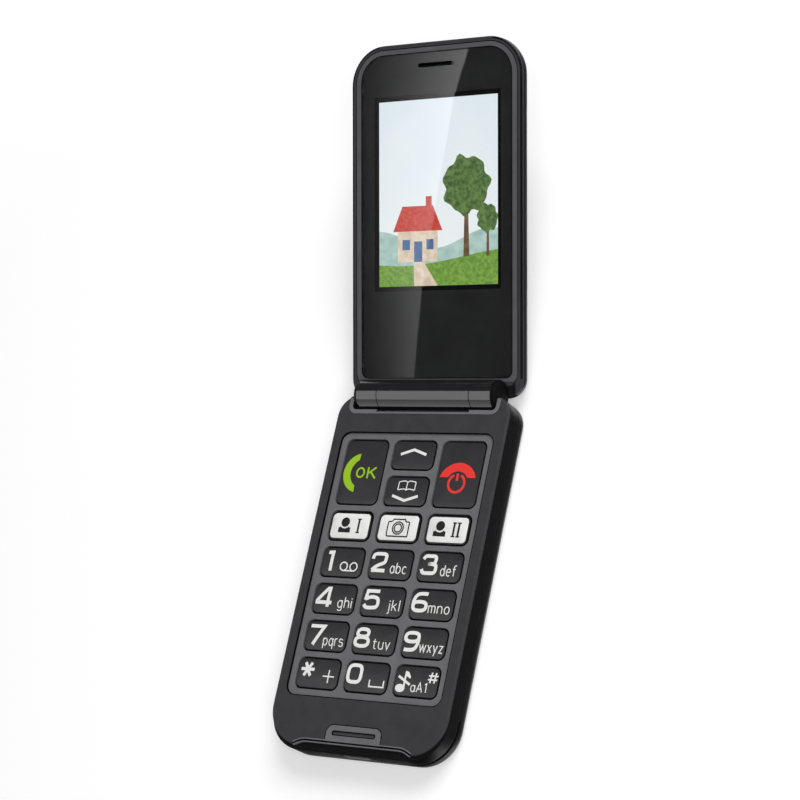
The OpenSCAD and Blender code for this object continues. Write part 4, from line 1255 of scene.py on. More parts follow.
@dataclass
class Display:
    """The lit panel behind the lens, with a plain landscape on it.

    Attributes:
        lift: Angle of the open lid over the base, in degrees.
        half: Half width of the picture.
        foot: Distance of the picture's foot from the hinge axis.
        head: Distance of its upper edge from the axis.
        top: Height of the panel's face over the axis, out of the lid.
        border: Width of the dark border.
        chin: Depth of the border at the foot.
        thick: Thickness of the panel.
        ground: Width of the panel's ground edge, above and below.
        corner: Corner radius of the panel.
        sunk: How far the panel's face, the picture's foot and its first layer lie under the top.
        layer: Rise from one layer of the picture to the next.
    """

    lift: float = 21.6
    half: float = 18.36
    foot: float = 28.73
    head: float = 77.69
    top: float = -4.14
    border: float = 1.65
    chin: float = 3.45
    thick: float = 0.9
    ground: Point = (0.12, 0.1)
    corner: float = 0.5
    sunk: tuple[float, float, float] = (0.02, 0.015, 0.008)
    layer: float = 0.0012

    def __post_init__(self) -> None:
        """Takes the hinge axis from the record."""
        hinge = next(joint for joint in frame["joints"] if joint["type"] == "hinge")
        turn = Matrix.Rotation(math.radians(self.lift), 4, "X")
        self.place = Matrix.Translation(Vector(hinge["pos_m"])) @ turn

    def build(self) -> None:
        """Makes the panel and its picture."""
        self._panel()
        self._picture()

    def _panel(self) -> None:
        """Makes the glass panel with a ground edge."""
        body = Body("display_panel", self.place)
        mid = (self.foot - self.chin + self.head + self.border) / 2
        half_u = (self.head + self.border - self.foot + self.chin) / 2
        above, below = self.ground
        rings = []
        for inset, fall in ((above, 0.0), (0.0, above), (0.0, self.thick - below), (below, self.thick)):
            outline = rounded(self.half + self.border - inset, half_u - inset, self.corner - inset, 4)
            rings.append(body.ring([(x, mid + y, self.top - self.sunk[0] - fall) for x, y in outline.points]))
        body.solid(rings)
        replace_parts(body.piece([PANEL], "lid", "display_panel"), "lcd_panel")

    def _at(self, across: float, up: float) -> Point:
        """Turns shares of the picture's width and height into lid millimetres."""
        return (self.half * (2 * across - 1), self.foot + (self.head - self.foot) * up)

    def _picture(self) -> None:
        """Makes the landscape in layers: sky, hills, meadow, trees, cottage and path."""
        body = Body("screen_landscape", self.place)
        sky = Lit("screen_sky", "f1f6f7", other="e0edf4", patches=70, low=0.09, high=0.125, mottle=0.35)
        hills = Lit("screen_hills", "9dbfb4", other="b7d2cc", patches=400)
        meadow = Lit("screen_meadow", "5d8a3a", other="86ad4c", patches=1100)
        leaves = Lit("screen_leaves", "3d5a35", other="6d8a4c", patches=900)
        bark = Lit("screen_bark", "5d4633", other="7a6048", patches=900)
        wall = Lit("screen_wall", "e6d8c4", other="d2bfa6", patches=500)
        roof = Lit("screen_roof", "b8392f", other="d4574a", patches=1200)
        door = Lit("screen_door", "3f5f93", other="58789f", patches=800)
        layers: list[tuple[Finish, Outline]] = [
            (sky, self._pane(0, 0, 1, 1)),
            (hills, [(0, 0), (1, 0), (1, 0.27)] + self._ridge(0.25, 0.05, 1.2, 0.33)),
            (meadow, [(0, 0), (1, 0)] + self._ridge(0.15, 0.04, 0.6 + math.pi / 2, 0.16)),
            (bark, [(0.715, 0.15), (0.765, 0.15), (0.755, 0.42), (0.725, 0.42)]),
            (leaves, self._crown(0.74, 0.53, 0.19, 0.155)),
            (bark, [(0.905, 0.15), (0.93, 0.15), (0.925, 0.3), (0.91, 0.3)]),
            (leaves, self._crown(0.915, 0.35, 0.085, 0.075)),
            (wall, self._pane(0.16, 0.13, 0.5, 0.3)),
            (roof, [(0.12, 0.295), (0.54, 0.295), (0.46, 0.43), (0.2, 0.43)]),
            (roof, self._pane(0.4, 0.42, 0.45, 0.48)),
            (door, self._pane(0.3, 0.13, 0.37, 0.24)),
            (door, self._pane(0.2, 0.195, 0.265, 0.25)),
            (door, self._pane(0.405, 0.195, 0.465, 0.25)),
            (wall, [(0.3, 0.0), (0.5, 0.0), (0.38, 0.13), (0.295, 0.13)]),
        ]
        finishes = list(dict.fromkeys(finish for finish, _ in layers))
        for depth, (finish, shares) in enumerate(layers):
            slot = finishes.index(finish)
            points = [self._at(*share) for share in shares]
            levels = (self.top - self.sunk[1], self.top - self.sunk[2] + self.layer * depth)
            body.solid([body.ring([(x, u, w) for x, u in points]) for w in levels], slot)
        body.piece(finishes, "lid", "display_panel", 20)

    def _pane(self, x0: float, y0: float, x1: float, y1: float) -> Outline:
        """Draws an upright rectangle between two corners, in shares of the picture."""
        return [(x0, y0), (x1, y0), (x1, y1), (x0, y1)]

    def _ridge(self, base: float, swing: float, start: float, pace: float, steps: int = 20) -> Outline:
        """Draws a wavy line from right to left about a base height, in shares of the picture."""
        return [(1 - i / steps, base + swing * math.sin(start + i * pace)) for i in range(steps + 1)]

    def _crown(self, across: float, up: float, reach: float, rise: float, steps: int = 48) -> Outline:
        """Draws the uneven outline of a leafy crown.

        Args:
            across: Middle across the picture.
            up: Middle up the picture.
            reach: Half width.
            rise: Half height.
            steps: Points round it.

        Returns:
            The outline in shares of the picture.
        """
        out: Outline = []
        for i in range(steps):
            turn = math.tau * i / steps
            bulge = 1 + 0.07 * math.sin(7 * turn + 1) + 0.05 * math.sin(11 * turn)
            out.append((min(1, across + reach * bulge * math.cos(turn)), up + rise * bulge * math.sin(turn)))
        return out


BLUNT = 0.05  # how far the corners of a slot's lining fall short of half rounds, in millimetres


@dataclass
class BaseTrim:
    """Thin trim of the base: tail bead, black strips of painted shade in the grooves, microphone screen, port rim
    and the strip round the hinge bay; bead, rim and strip carry painted highlights.

    Attributes:
        frame_flange: Reach of the keypad frame's flange, in millimetres.
        frame_r: Corner radius of the keypad frame.
        tab_r: Corner radius at the head of the microphone tab.
        groove: Width of the grooves round inset pieces.
        slack: Room beside the shade strips in those grooves.
        frame_seal: Depths of the foot and the top of the black strip of painted shade round the keypad frame.
        tab_seal: The same of the painted shade strip round the tab.
        tab_foot: Distance of that strip's ends from the tab's foot.
        slot: Half length and half width of the slot in the tab.
        slot_up: Distance of that slot from the tab's foot.
        slot_floor: Depth of its floor.
        thread: Half width of the threads of the slot's screen.
        thread_h: Heights of their foot and top over the slot's floor.
        thread_ends: Distance of their ends from the slot's ends and from its sides.
        threads: Threads on each side of the middle, across and along the slot.
        mesh: Distance between threads along x and along y.
        weave: Rise of every other thread across the slot, and of those along it.
        shade_lining: Distance of the middle of the slot's black strip of painted shade from the slot's wall, and
            its half width.
        shade_lining_top: Depth of that strip's top.
        port_rim: The same of the rim in the charging port.
        port_r: Corner radius of that rim.
        port_ends: Distance of its ends from the port's face and from the base's.
        bead: Half width of the bead's straight middle.
        bead_run: Run of its curved ends.
        bead_d: Depth of its curve.
        bead_share: Share of the curved ends that it follows.
        bead_seat: Depth of its foot.
        ridge: Half width and height of its ridges.
        valley: Half width and height of the groove between them.
        ridges: Distances of its outer ridge, groove and inner ridge from the front edge.
        bay_r: Corner radius of the hinge bay.
        bay_rim: Width of its rim.
        knuckle: Half length of the slot in front of the lid's knuckle.
        narrow: Width of the rim there.
        strip_edge: Distance of the light strip from the rim's edges.
        strip_h: Heights of the strip's foot and top over the face.
        strip_run: How far it runs up the sides of the bay.
    """

    frame_flange: float = 0.9
    frame_r: float = 2.6
    tab_r: float = 2.0
    groove: float = 0.25
    slack: float = 0.01
    frame_seal: Point = (0.83, 0.03)
    tab_seal: Point = (1.2, 0.02)
    tab_foot: float = 0.03
    slot: Point = (6.6, 0.65)
    slot_up: float = 2.42
    slot_floor: float = 0.5
    thread: float = 0.08
    thread_h: Point = (0.02, 0.14)
    thread_ends: Point = (0.25, 0.2)
    threads: tuple[int, int] = (25, 1)
    mesh: Point = (0.25, 0.27)
    weave: Point = (0.02, 0.01)
    shade_lining: Point = (0.13, 0.12)
    shade_lining_top: float = 0.03
    port_rim: Point = (0.14, 0.16)
    port_r: float = 0.5
    port_ends: Point = (0.01, 0.005)
    bead: float = 13.7
    bead_run: float = 6.1
    bead_d: float = 1.5
    bead_share: float = 0.64
    bead_seat: float = 0.78
    ridge: Point = (0.15, 0.06)
    # valley: Half width and height of the groove between them, painted black as shade.
    valley: Point = (0.25, 0.012)
    ridges: tuple[float, float, float] = (-0.36, 0.03, 0.42)
    bay_r: float = 2.4
    bay_rim: float = 1.2
    knuckle: float = 14.3
    narrow: float = 0.62
    strip_edge: float = 0.05
    strip_h: Point = (-0.04, 0.03)
    strip_run: float = 4.4

    def __post_init__(self) -> None:
        """Takes heights and places from the CAD nodes."""
        self.flat = Matrix.Identity(4)
        self.front = [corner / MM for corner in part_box("front_housing")]
        self.top = self.front[1].z

    def build(self) -> None:
        """Makes every strip, the black ones as painted shade."""
        self._bead()
        self._frame_seal()
        self._tab_seal()
        self._cloth()
        self._port_rim()
        self._bay_strip()

    def _bead(self, steps: int = 13) -> None:
        """Makes the double ridge along the cut-back front edge: light ridges as painted highlights, and a black
        groove between them as painted shade.

        Args:
            steps: Steps along each of its curved ends.
        """
        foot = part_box("mic_tab")[0].y / MM
        bend = (self.bead_run ** 2 + self.bead_d ** 2) / (4 * self.bead_d)
        right: Outline = []
        for step in range(steps + 1):
            run = self.bead_run * self.bead_share * step / steps
            first = bend - math.sqrt(bend ** 2 - run ** 2)
            second = self.bead_d - bend + math.sqrt(bend ** 2 - (self.bead_run - run) ** 2)
            right.append((self.bead + run, foot - (first if run < self.bead_run / 2 else second)))
        edge = Stroke(tuple([(-x, y) for x, y in reversed(right)] + right))
        seat = self.top - self.bead_seat
        outer, middle, inner = self.ridges
        half, rise = self.ridge
        body = Body("tail_bead", self.flat)
        # Light ridges: painted highlights; the black groove between them: painted shade.
        body.strip(edge, bar(half, seat, self.top + rise, outer))
        body.strip(edge, bar(self.valley[0], seat, self.top + self.valley[1], middle), 1)
        body.strip(edge, bar(half, self.top - rise, self.top + rise, inner))
        body.piece([HIGHLIGHT_GREY, SHADE_BLACK], "base", "trim_grey")

    def _shade_strip(self, name: str, path: Stroke, depths: Point) -> None:
        """Makes a black strip in a groove, as painted shade.

        Args:
            name: Its name.
            path: Middle of the groove.
            depths: Depths of the strip's foot and top under the face.
        """
        body = Body(name, self.flat)
        # A black strip fills the groove: painted shade.
        body.strip(path, bar(self.groove / 2 - self.slack, self.top - depths[0], self.top - depths[1]))
        body.piece([SHADE_BLACK], "base", "key_rubber")

    def _frame_seal(self) -> None:
        """Makes the painted shade in the groove round the keypad frame."""
        low, high = (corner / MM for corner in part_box("keypad_frame"))
        half = self.groove / 2
        grow, bend = half - self.frame_flange, self.frame_r + half
        path = loop(high.x + grow, low.y - grow, high.y + grow, bend, bend)
        self._shade_strip("keypad_seal", path, self.frame_seal)

    def _tab_seal(self) -> None:
        """Makes the painted shade in the groove round the microphone tab."""
        low, high = (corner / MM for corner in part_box("mic_tab"))
        half = self.groove / 2
        reach, head, bend = high.x + half, high.y + half, self.tab_r + half
        left = arc(bend - reach, head - bend, bend, bend, 180, 90, 8).points
        right = arc(reach - bend, head - bend, bend, bend, 90, 0, 8).points
        foot = low.y + self.tab_foot
        self._shade_strip("tab_seal", Stroke(((-reach, foot),) + left + right + ((reach, foot),)), self.tab_seal)

    def _cloth(self) -> None:
        """Makes the woven screen behind the tab's slot, with a black strip round the slot's wall as painted shade.
        """
        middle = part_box("mic_tab")[0].y / MM + self.slot_up
        half_x, half_y = self.slot
        reach_x, reach_y = half_x - self.thread_ends[0], half_y - self.thread_ends[1]
        across, along = self.threads
        floor = self.top - self.slot_floor
        foot, top = (floor + height for height in self.thread_h)
        over, under = self.weave
        body = Body("microphone_cloth", self.flat)
        for i in range(-across, across + 1):
            x = i * self.mesh[0]
            path = line(x, middle - reach_y, x, middle + reach_y)
            body.strip(path, bar(self.thread, foot, top + over * (i % 2)))
        for i in range(-along, along + 1):
            y = middle + i * self.mesh[1]
            body.strip(line(-reach_x, y, reach_x, y), bar(self.thread, foot + under, top + under))
        inset, half = self.shade_lining
        path = rounded(half_x - inset, half_y - inset, half_y - inset - BLUNT).moved(1, 1, 0, middle)
        # Black strip at the slot's wall: painted shade in the slot.
        body.strip(path, bar(half, foot, self.top - self.shade_lining_top), 1)
        body.piece([WEAVE, SHADE_BLACK], "base", "mesh_black")

    def _port_rim(self) -> None:
        """Makes the rim in the mouth of the charging port, its light grey a painted glint."""
        low, high = (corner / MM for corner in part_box("charge_port"))
        mouth = low.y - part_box("base_chassis")[0].y / MM
        middle = Vector((0, low.y - mouth, (low.z + high.z) / 2)) * MM
        body = Body("port_rim", Matrix.Translation(middle) @ Matrix.Rotation(math.pi / 2, 4, "X"))
        inset, half = self.port_rim
        path = rounded(high.x - inset, (high.z - low.z) / 2 - inset, self.port_r)
        body.strip(path, bar(half, self.port_ends[0] - mouth, -self.port_ends[1]))
        # The rim's light grey is a painted glint.
        body.piece([PORT_RIM_GLINT], "base", "steel")

    def _bay_strip(self) -> None:
        """Makes the light strip on the rim of the hinge bay, whose light grey is a painted highlight where the rim
        catches the light.
        """
        low, high = (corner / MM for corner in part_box("hinge_cradle"))
        foot_h, top_h = (self.top + height for height in self.strip_h)
        middle, thin = self.bay_rim / 2, self.narrow / 2
        bend = self.bay_r - middle
        reach, foot = high.x - middle, low.y + middle
        body = Body("bay_strip", self.flat)
        for side in (-1, 1):
            turn = arc(side * (reach - bend), foot + bend, side * bend, bend, 0, -90, 8).points
            path = ((side * reach, low.y + self.strip_run),) + turn + ((side * self.knuckle, foot),)
            body.strip(Stroke(path), bar(middle - self.strip_edge, foot_h, top_h))
        body.strip(line(-self.knuckle, low.y + thin, self.knuckle, low.y + thin),
                   bar(thin - self.strip_edge, foot_h, top_h))
        # Light grey: painted highlight of the bay's rim.
        body.piece([HIGHLIGHT_GREY], "base", "trim_grey")


@dataclass
class LidTrim:
    """Black strips of painted shade on the lid: on its rounded edge, round its bezel, round its lens and in the
    earpiece slot.

    Attributes:
        place: Place of the open lid.
        face: Height of the lid's face over the hinge axis, out of the lid, in millimetres.
        edge: Half width of the lid.
        edge_ends: Where its straight sides begin, and its tip.
        edge_r: Corner radius at its tip.
        edge_ease: Radius of its round edge.
        lip: Width of the black strip of painted shade on that edge.
        bezel: Half width of the bezel.
        bezel_ends: Its ends along the lid.
        bezel_r: Its corner radii at foot and tip.
        strip: Width of the bezel beside the lens.
        lens_ends: Ends of the lens along the lid.
        ear: Half length and half width of the earpiece slot.
        ear_up: Distance of that slot from the axis.
        groove: Width of the groove round the bezel.
        slack: Room beside the shade strip in that groove.
        edge_shade_turn: How far the edge's shade strip follows the corners at the tip, in degrees.
        lens_off: Distance of the lens's shade strip from the lens.
        shade_lining: Distance of the middle of the slot's black strip of painted shade from the slot's wall.
        thin: Half width of the lens's shade strip and of the slot's.
        edge_shade_h: Heights of the foot and top of the edge's shade strip over the lid's face.
        edge_shade_steps: Distances from the lid's side at which the edge's shade strip follows its round edge.
        bezel_h: Heights of the shade strip round the bezel.
        lens_h: Heights of the lens's shade strip.
        ear_h: Heights of the slot's shade strip.
    """

    place: Matrix
    face: float = -2.64
    edge: float = 26.3
    edge_ends: Point = (4.2, 92.49)
    edge_r: float = 10.2
    edge_ease: float = 0.4
    lip: float = 0.56
    bezel: float = 24.8
    bezel_ends: Point = (3.75, 91.14)
    bezel_r: Point = (3.6, 8.7)
    strip: float = 1.6
    lens_ends: Point = (4.55, 89.79)
    ear: Point = (5.2, 0.525)
    ear_up: float = 86.49
    groove: float = 0.25
    slack: float = 0.01
    edge_shade_turn: float = 82.0
    lens_off: float = 0.06
    shade_lining: float = 0.11
    thin: float = 0.1
    edge_shade_h: Point = (-0.5, 0.01)
    edge_shade_steps: tuple[float, ...] = (0.04, 0.12, 0.22)
    bezel_h: Point = (-0.5, -0.02)
    lens_h: Point = (-0.015, 0.01)
    ear_h: Point = (-0.85, -0.03)

    def build(self) -> None:
        """Makes the four black strips of painted shade."""
        foot, tip = self.edge_ends
        self._shade_strip("lid_edge_lip", self._sides(self.edge, foot, tip, self.edge_r, self.edge_shade_turn), self._lip())
        half = self.groove / 2
        foot, tip = self.bezel_ends
        left, right = self._sides(self.bezel + half, foot, tip + half, self.bezel_r[1] + half)
        path = Stroke(left.points + right.points)
        self._shade_strip("bezel_seal", [path], self._flat_bar(half - self.slack, self.bezel_h))
        foot, tip = self.lens_ends
        foot_r, tip_r = (r - self.strip for r in self.bezel_r)
        reach = self.bezel - self.strip + self.lens_off
        path = loop(reach, foot - self.lens_off, tip + self.lens_off, foot_r, tip_r)
        self._shade_strip("lens_seal", [path], self._flat_bar(self.thin, self.lens_h))
        half_x, half_y = (half - self.shade_lining for half in self.ear)
        path = rounded(half_x, half_y, half_y - BLUNT).moved(1, 1, 0, self.ear_up)
        self._shade_strip("ear_slot_lining", [path], self._flat_bar(self.thin, self.ear_h))

    def _flat_bar(self, half: float, heights: Point) -> list[Point]:
        """Draws a seal's section from its half width and its heights over the lid's face."""
        return bar(half, self.face + heights[0], self.face + heights[1])

    def _sides(self, reach: float, foot: float, head: float, bend: float, turn: float = 90.0) -> list[Stroke]:
        """Draws a line up each side of the lid and into the corner at its tip.

        Args:
            reach: Half of the width between the lines.
            foot: Where they begin along the lid.
            head: Far end of the corners along the lid.
            bend: Corner radius.
            turn: How far the lines follow the corners, in degrees.

        Returns:
            The left line, going up, and the right line, going down.
        """
        left = arc(bend - reach, head - bend, bend, bend, 180, 180 - turn, 14).points
        right = arc(reach - bend, head - bend, bend, bend, turn, 0, 14).points
        return [Stroke(((-reach, foot),) + left), Stroke(right + ((reach, foot),))]

    def _lip(self) -> list[Point]:
        """Draws the section of the black strip of painted shade that follows the lid's round edge.

        Returns:
            The section's points.
        """
        low, crest = (self.face + height for height in self.edge_shade_h)
        inner, ease = -self.lip, self.edge_ease
        ends = self.edge_shade_steps + (ease,)
        round_edge = [(-end, crest - ease + math.sqrt(ease ** 2 - (ease - end) ** 2)) for end in ends]
        return round_edge + [(inner, crest), (inner, low), (-ends[0], low)]

    def _shade_strip(self, name: str, paths: Sequence[Stroke], section: list[Point]) -> None:
        """Makes one black strip of painted shade.

        Args:
            name: Its name.
            paths: Lines that it follows.
            section: Points of its section.
        """
        # Each strip is black: painted shade.
        body = Body(name, self.place)
        for path in paths:
            body.strip(path, section)
        body.piece([SHADE_BLACK], "lid", "key_rubber")


@dataclass
class Shell:
    """The carried-over CAD nodes and their finishes.

    Attributes:
        lens_ease: How far the lens stands off what it touches, in metres, so that light parts cleanly there.
    """

    lens_ease: float = 0.00001

    def dress(self) -> None:
        """Gives every CAD node the finish of its slot or its own."""
        for part in frame["record"]["subparts"]:
            node = part["node"]
            finish = NODE_FINISH.get(node) or SLOT_FINISH[part["material_slot"]]
            piece = frame["nodes"][node]
            piece.data.materials.clear()
            piece.data.materials.append(finish.material())
            log.info("node %s: %s", node, finish.name)
        ease = frame["nodes"]["display_lens"].modifiers.new("stand_off", "DISPLACE")
        ease.strength = -self.lens_ease
        ease.mid_level = 0.0


@dataclass
class Studio:
    """Floor, light and camera.

    Attributes:
        eye: Place of the camera in metres.
        aim: Direction that it looks along.
        up: Its upward direction.
        lens: Focal length in millimetres.
        sky: Light from all round on matt surfaces.
        ceiling: Height of the screens that gloss reflects, in metres.
        dusk: Grey of the dark screen.
        band: Brightness of the lamp that the hinge barrel shows.
        sheen: Brightness of the lamp that the keys show.
        bright: Brightness of the streak on the lens.
        glare: Edge of the light streak on the lens, as x and distance from the hinge axis in millimetres.
        lens_edge: Where the streak has faded out, as x in millimetres.
        lens_face: Height of the lens's face over the hinge axis, in millimetres.
        fade: Shares of the way to that place, with the streak's brightness there.
        foot_share: Share of the streak's brightness at the hinge axis.
        bay_wall: Distance of the bay's card from the front of the hinge cradle, in millimetres.
        bay_ends: Its upper and lower end over the cradle, in millimetres, with their brightness.
        back: Nodes of the lid's back, which show a lamp once it is closed.
        reach: Half width of the floor in metres.
    """

    eye: Vector = field(default_factory=lambda: Vector((0.32315, -0.133095, 0.478)))
    aim: Vector = field(default_factory=lambda: Vector((-0.55061, 0.29850, -0.77957)).normalized())
    up: Vector = field(default_factory=lambda: Vector((-0.00386, 0.93296, 0.35996)))
    lens: float = 103.49
    sky: float = 0.22
    ceiling: float = 0.62
    dusk: float = 0.06
    band: float = 1.6
    sheen: float = 1.05
    bright: float = 1.6
    glare: tuple[Point, ...] = (
        (11.5, 96.0), (10.1, 89.8), (5.7, 77.8), (-4.3, 28.7), (-6.9, 4.5), (-7.5, -2.0))
    lens_edge: float = -23.2
    lens_face: float = -2.66
    fade: tuple[Point, ...] = ((0.0, 1.0), (0.25, 0.66), (0.5, 0.37), (0.75, 0.18), (1.0, 0.06))
    foot_share: float = 0.38
    bay_wall: float = 1.225
    bay_ends: tuple[Point, ...] = ((1.05, 0.5), (-2.8, 1.0))
    back: tuple[str, ...] = ("lid_rear_cover", "camera_window", "camera_ring")
    reach: float = 4.0

    def build(self, lid: Matrix, keys: Sequence[Piece]) -> None:
        """Sets up camera, world, floor, lamps and screens.

        Args:
            lid: Place of the open lid, for the streak on its lens.
            keys: Key caps that show their own lamp.
        """
        nodes = frame["nodes"]
        barrel = (nodes["hinge_cradle"], nodes["lid_knuckle"])
        self._camera()
        self._world()
        self._floor()
        self._lamp("lamp_back", (0.45, 0.75, 0.9), 0.7, 9.0)
        self._lamp("lamp_front", (0.75, -0.4, 1.05), 0.8, 9.0)
        self._screen("dusk_screen", self.dusk, (-4.0, 4.0), (-4.0, 5.0), self.ceiling + 0.02)
        self._screen("side_card", 0.05, (0.027, 0.3), (-0.25, 0.25), 0.0005)
        self._screen("tail_card", 0.0, (-0.2, 0.027), (-0.35, -0.0485), 0.0005)
        self._sheen("band_lamp", self.band, (-1.2, 0.0), (-1.55, 0.17), barrel)
        self._sheen("key_lamp", self.sheen, (-0.9, 0.0), (-0.5, 0.12), keys)
        self._sheen("cover_lamp", 0.7, (-1.8, 0.8), (-0.3, 2.2), [nodes[name] for name in self.back])
        self._only_on(self._bay_card(), barrel)
        self._only_on(self._streak(lid), (nodes["display_lens"],))
        bpy.context.scene.view_settings.view_transform = "Standard"

    def _camera(self) -> None:
        """Places the camera at the photograph's viewing angle."""
        data = bpy.data.cameras.new("camera")
        data.sensor_width = 36.0
        data.lens = self.lens
        data.clip_start = 0.01
        camera = bpy.data.objects.new("camera", data)
        right = self.aim.cross(self.up).normalized()
        up = right.cross(self.aim)
        turn = Matrix((right, up, -self.aim)).transposed().to_4x4()
        camera.matrix_world = Matrix.Translation(self.eye) @ turn
        bpy.context.scene.collection.objects.link(camera)
        bpy.context.scene.camera = camera

    def _seen(self, wires: Wiring) -> Socket:
        """Tells what is seen from what lights matt surfaces.

        Args:
            wires: Tree to add it to.

        Returns:
            One for camera, gloss and glass rays, and zero for matt light.
        """
        path = wires.add("LightPath").outputs
        share = wires.math("MAXIMUM", path["Is Camera Ray"], path["Is Glossy Ray"])
        return wires.math("MAXIMUM", share, path["Is Transmission Ray"])

    def _world(self) -> None:
        """Makes an even white surround that lights matt surfaces at its own level."""
        world = bpy.data.worlds.new("studio")
        world.use_nodes = True
        world.node_tree.nodes.clear()
        wires = Wiring(world.node_tree)
        strength = wires.span(self._seen(wires), self.sky, 1.0)
        ground = wires.add("Background", {"Color": (1, 1, 1, 1), "Strength": strength})
        wires.add("OutputWorld", {"Surface": ground.outputs["Background"]})
        bpy.context.scene.world = world

    def _stand(self, name: str, points: Sequence[Sequence[float]], faces: Sequence[Sequence[int]],
               material: bpy.types.Material) -> Piece:
        """Adds a staged piece, which is no part of the phone.

        Args:
            name: Its name.
            points: Its points in metres.
            faces: Its faces as numbers of points.
            material: Its material.

        Returns:
            The new object.
        """
        data = bpy.data.meshes.new(name)
        data.from_pydata([tuple(point) for point in points], [], faces)
        data.materials.append(material)
        made = bpy.data.objects.new(name, data)
        bpy.context.scene.collection.objects.link(made)
        return made

    def _flat(self, name: str, across: Point, along: Point, height: float,
              material: bpy.types.Material) -> Piece:
        """Lays a staged rectangle.

        Args:
            name: Its name.
            across: Its ends along x in metres.
            along: Its ends along y in metres.
            height: Its height in metres.
            material: Its material.

        Returns:
            The new object.
        """
        (x0, x1), (y0, y1) = across, along
        corners = [(x0, y0, height), (x1, y0, height), (x1, y1, height), (x0, y1, height)]
        return self._stand(name, corners, [(0, 1, 2, 3)], material)

    def _floor(self) -> None:
        """Makes the pale floor, which keeps the shadow and is whiter far from the phone."""
        material = bpy.data.materials.new("studio_floor")
        material.use_nodes = True
        wires = Wiring(material.node_tree)
        shader = material.node_tree.nodes["Principled BSDF"]
        grain = wires.add("TexNoise", {"Scale": 40.0, "Detail": 2.0}).outputs["Fac"]
        place = wires.add("TexCoord").outputs["Object"]
        away = wires.add("VectorMath", {"Vector": place}, operation="LENGTH").outputs["Value"]
        lift = wires.span(away, 0.31, 1.0, 0.2, 1.4)
        inputs = {
            "Base Color": wires.blend(grain, (0.78, 0.78, 0.78, 1), (0.8, 0.8, 0.8, 1)),
            "Roughness": 0.9,
            "Specular IOR Level": 0.0,
            "Emission Color": (1, 1, 1, 1),
            "Emission Strength": wires.math("MULTIPLY", self._seen(wires), lift),
        }
        for name, value in inputs.items():
            wires.put(shader.inputs[name], value)
        ends = (-self.reach, self.reach)
        self._flat("floor", ends, ends, 0.0, material)

    def _lamp(self, name: str, place: Sequence[float], size: float, power: float) -> None:
        """Hangs a soft square lamp that looks at the phone.

        Args:
            name: Its name.
            place: Its place in metres.
            size: Length of its sides.
            power: Its power in watts.
        """
        data = bpy.data.lights.new(name, "AREA")
        data.size = size
        data.energy = power
        lamp = bpy.data.objects.new(name, data)
        lamp.location = place
        lamp.rotation_euler = (Vector((0, 0.03, 0)) - Vector(place)).to_track_quat("-Z", "Y").to_euler()
        lamp.visible_glossy = False
        bpy.context.scene.collection.objects.link(lamp)

    def _glow(self, name: str, level: object) -> bpy.types.Material:
        """Makes a plain glowing material.

        Args:
            name: Its name.
            level: Its brightness, or the name of the mesh attribute that holds it.

        Returns:
            The material.
        """
        material = bpy.data.materials.new(name)
        material.use_nodes = True
        material.node_tree.nodes.clear()
        wires = Wiring(material.node_tree)
        if isinstance(level, str):
            level = wires.add("Attribute", attribute_name=level).outputs["Fac"]
        glow = wires.add("Emission", {"Strength": level})
        wires.add("OutputMaterial", {"Surface": glow.outputs["Emission"]})
        return material

    def _unseen(self, screen: Piece) -> None:
        """Leaves a screen to gloss and glass alone.

        Args:
            screen: The screen.
        """
        screen.visible_camera = False
        screen.visible_diffuse = False
        screen.visible_shadow = False

    def _only_on(self, source: Piece, pieces: Sequence[Piece]) -> None:
        """Lets a lamp or screen light some pieces alone.

        Args:
            source: The lamp or screen.
            pieces: The pieces.
        """
        takers = bpy.data.collections.new(source.name + "_takers")
        for piece in pieces:
            takers.objects.link(piece)
        source.light_linking.receiver_collection = takers

    def _sheen(self, name: str, level: float, across: Point, along: Point, pieces: Sequence[Piece]) -> None:
        """Hangs a lamp under the ceiling that shows in the gloss of some pieces alone.

        Args:
            name: Its name.
            level: Its brightness.
            across: Its ends along x in metres.
            along: Its ends along y in metres.
            pieces: Pieces that show it.
        """
        data = bpy.data.lights.new(name, "AREA")
        data.shape = "RECTANGLE"
        data.size, data.size_y = across[1] - across[0], along[1] - along[0]
        data.energy = level * math.pi * data.size * data.size_y
        lamp = bpy.data.objects.new(name, data)
        lamp.location = (sum(across) / 2, sum(along) / 2, self.ceiling - 0.02)
        lamp.visible_camera = False
        lamp.visible_diffuse = False
        bpy.context.scene.collection.objects.link(lamp)
        self._only_on(lamp, pieces)

    def _screen(self, name: str, level: float, across: Point, along: Point, height: float) -> None:
        """Lays an even screen that gloss alone shows, between its ends along x and y in metres."""
        self._unseen(self._flat(name, across, along, height, self._glow(name, level)))

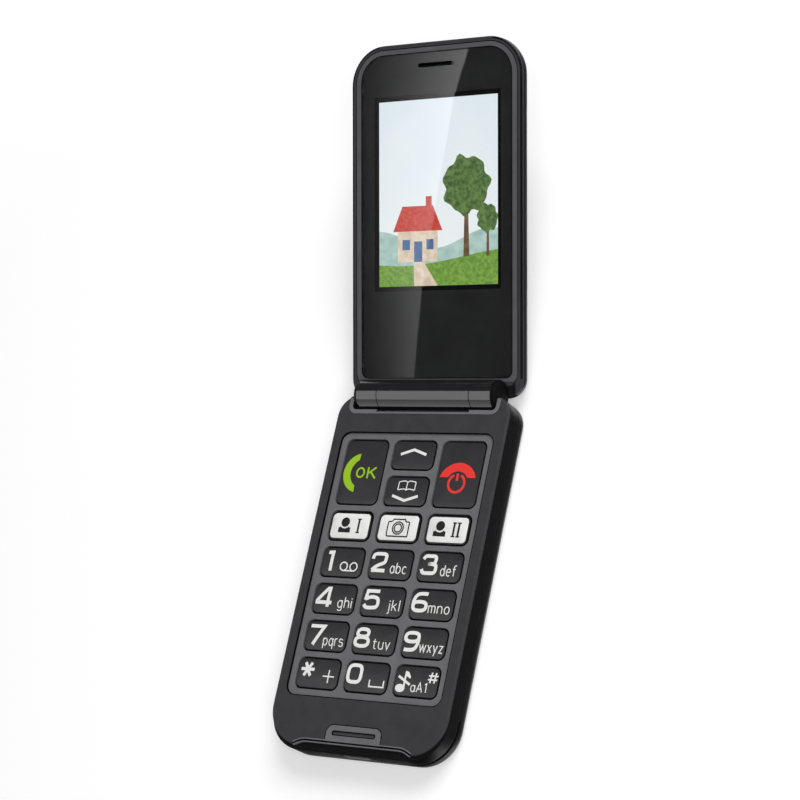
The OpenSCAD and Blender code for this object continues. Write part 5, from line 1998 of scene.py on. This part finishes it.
    def _bounce(self, point: Vector, normal: Vector) -> Vector:
        """Follows the camera's view off a point with a surface direction up to the screens' height."""
        run = (point - self.eye).normalized().reflect(normal)
        return point + run * ((self.ceiling - 0.01 - point.z) / run.z)

    def _streak(self, lid: Matrix) -> Piece:
        """Hangs the screen that the lens shows as a slanted streak of light.

        Args:
            lid: Place of the open lid.

        Returns:
            The new object.
        """
        normal = lid.to_3x3() @ Vector((0, 0, 1))
        tall = self.glare[0][1]
        rows = []
        for x, u in self.glare:
            bright = self.bright * (self.foot_share + (1 - self.foot_share) * u / tall)
            row = []
            for share, level in self.fade:
                point = lid @ (Vector((x + (self.lens_edge - x) * share, u, self.lens_face)) * MM)
                row.append((self._bounce(point, normal), bright * level))
            rows.append(row)
        return self._graded("streak_screen", rows)

    def _bay_card(self) -> Piece:
        """Stands a card on the near wall of the hinge bay that lights the lower side of the barrel.

        Returns:
            The new object.
        """
        low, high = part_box("hinge_cradle")
        y = low.y + self.bay_wall * MM
        rows = []
        for rise, level in self.bay_ends:
            z = high.z + rise * MM
            rows.append([(Vector((x, y, z)), level) for x in (low.x, high.x)])
        return self._graded("bay_card", rows)

    def _graded(self, name: str, rows: Sequence[Sequence[tuple[Vector, float]]]) -> Piece:
        """Hangs a screen that gloss alone shows, with a brightness at each of its points.

        Args:
            name: Its name.
            rows: Rows of points in metres, each with its brightness.

        Returns:
            The new object.
        """
        width = len(rows[0])
        faces = [(r * width + c, r * width + c + 1, (r + 1) * width + c + 1, (r + 1) * width + c)
                 for r in range(len(rows) - 1) for c in range(width - 1)]
        points = [point for row in rows for point, _ in row]
        screen = self._stand(name, points, faces, self._glow(name, "level"))
        values = screen.data.attributes.new("level", "FLOAT", "POINT")
        values.data.foreach_set("value", [level for row in rows for _, level in row])
        self._unseen(screen)
        return screen


def main() -> None:
    """Builds the phone's looks in order."""
    logging.basicConfig(level=logging.INFO, format="%(message)s")
    Shell().dress()
    keys = Keypad().build()
    BaseTrim().build()
    display = Display()
    display.build()
    LidTrim(display.place).build()
    Studio().build(display.place, keys)


if __name__ == "__main__":
    main()
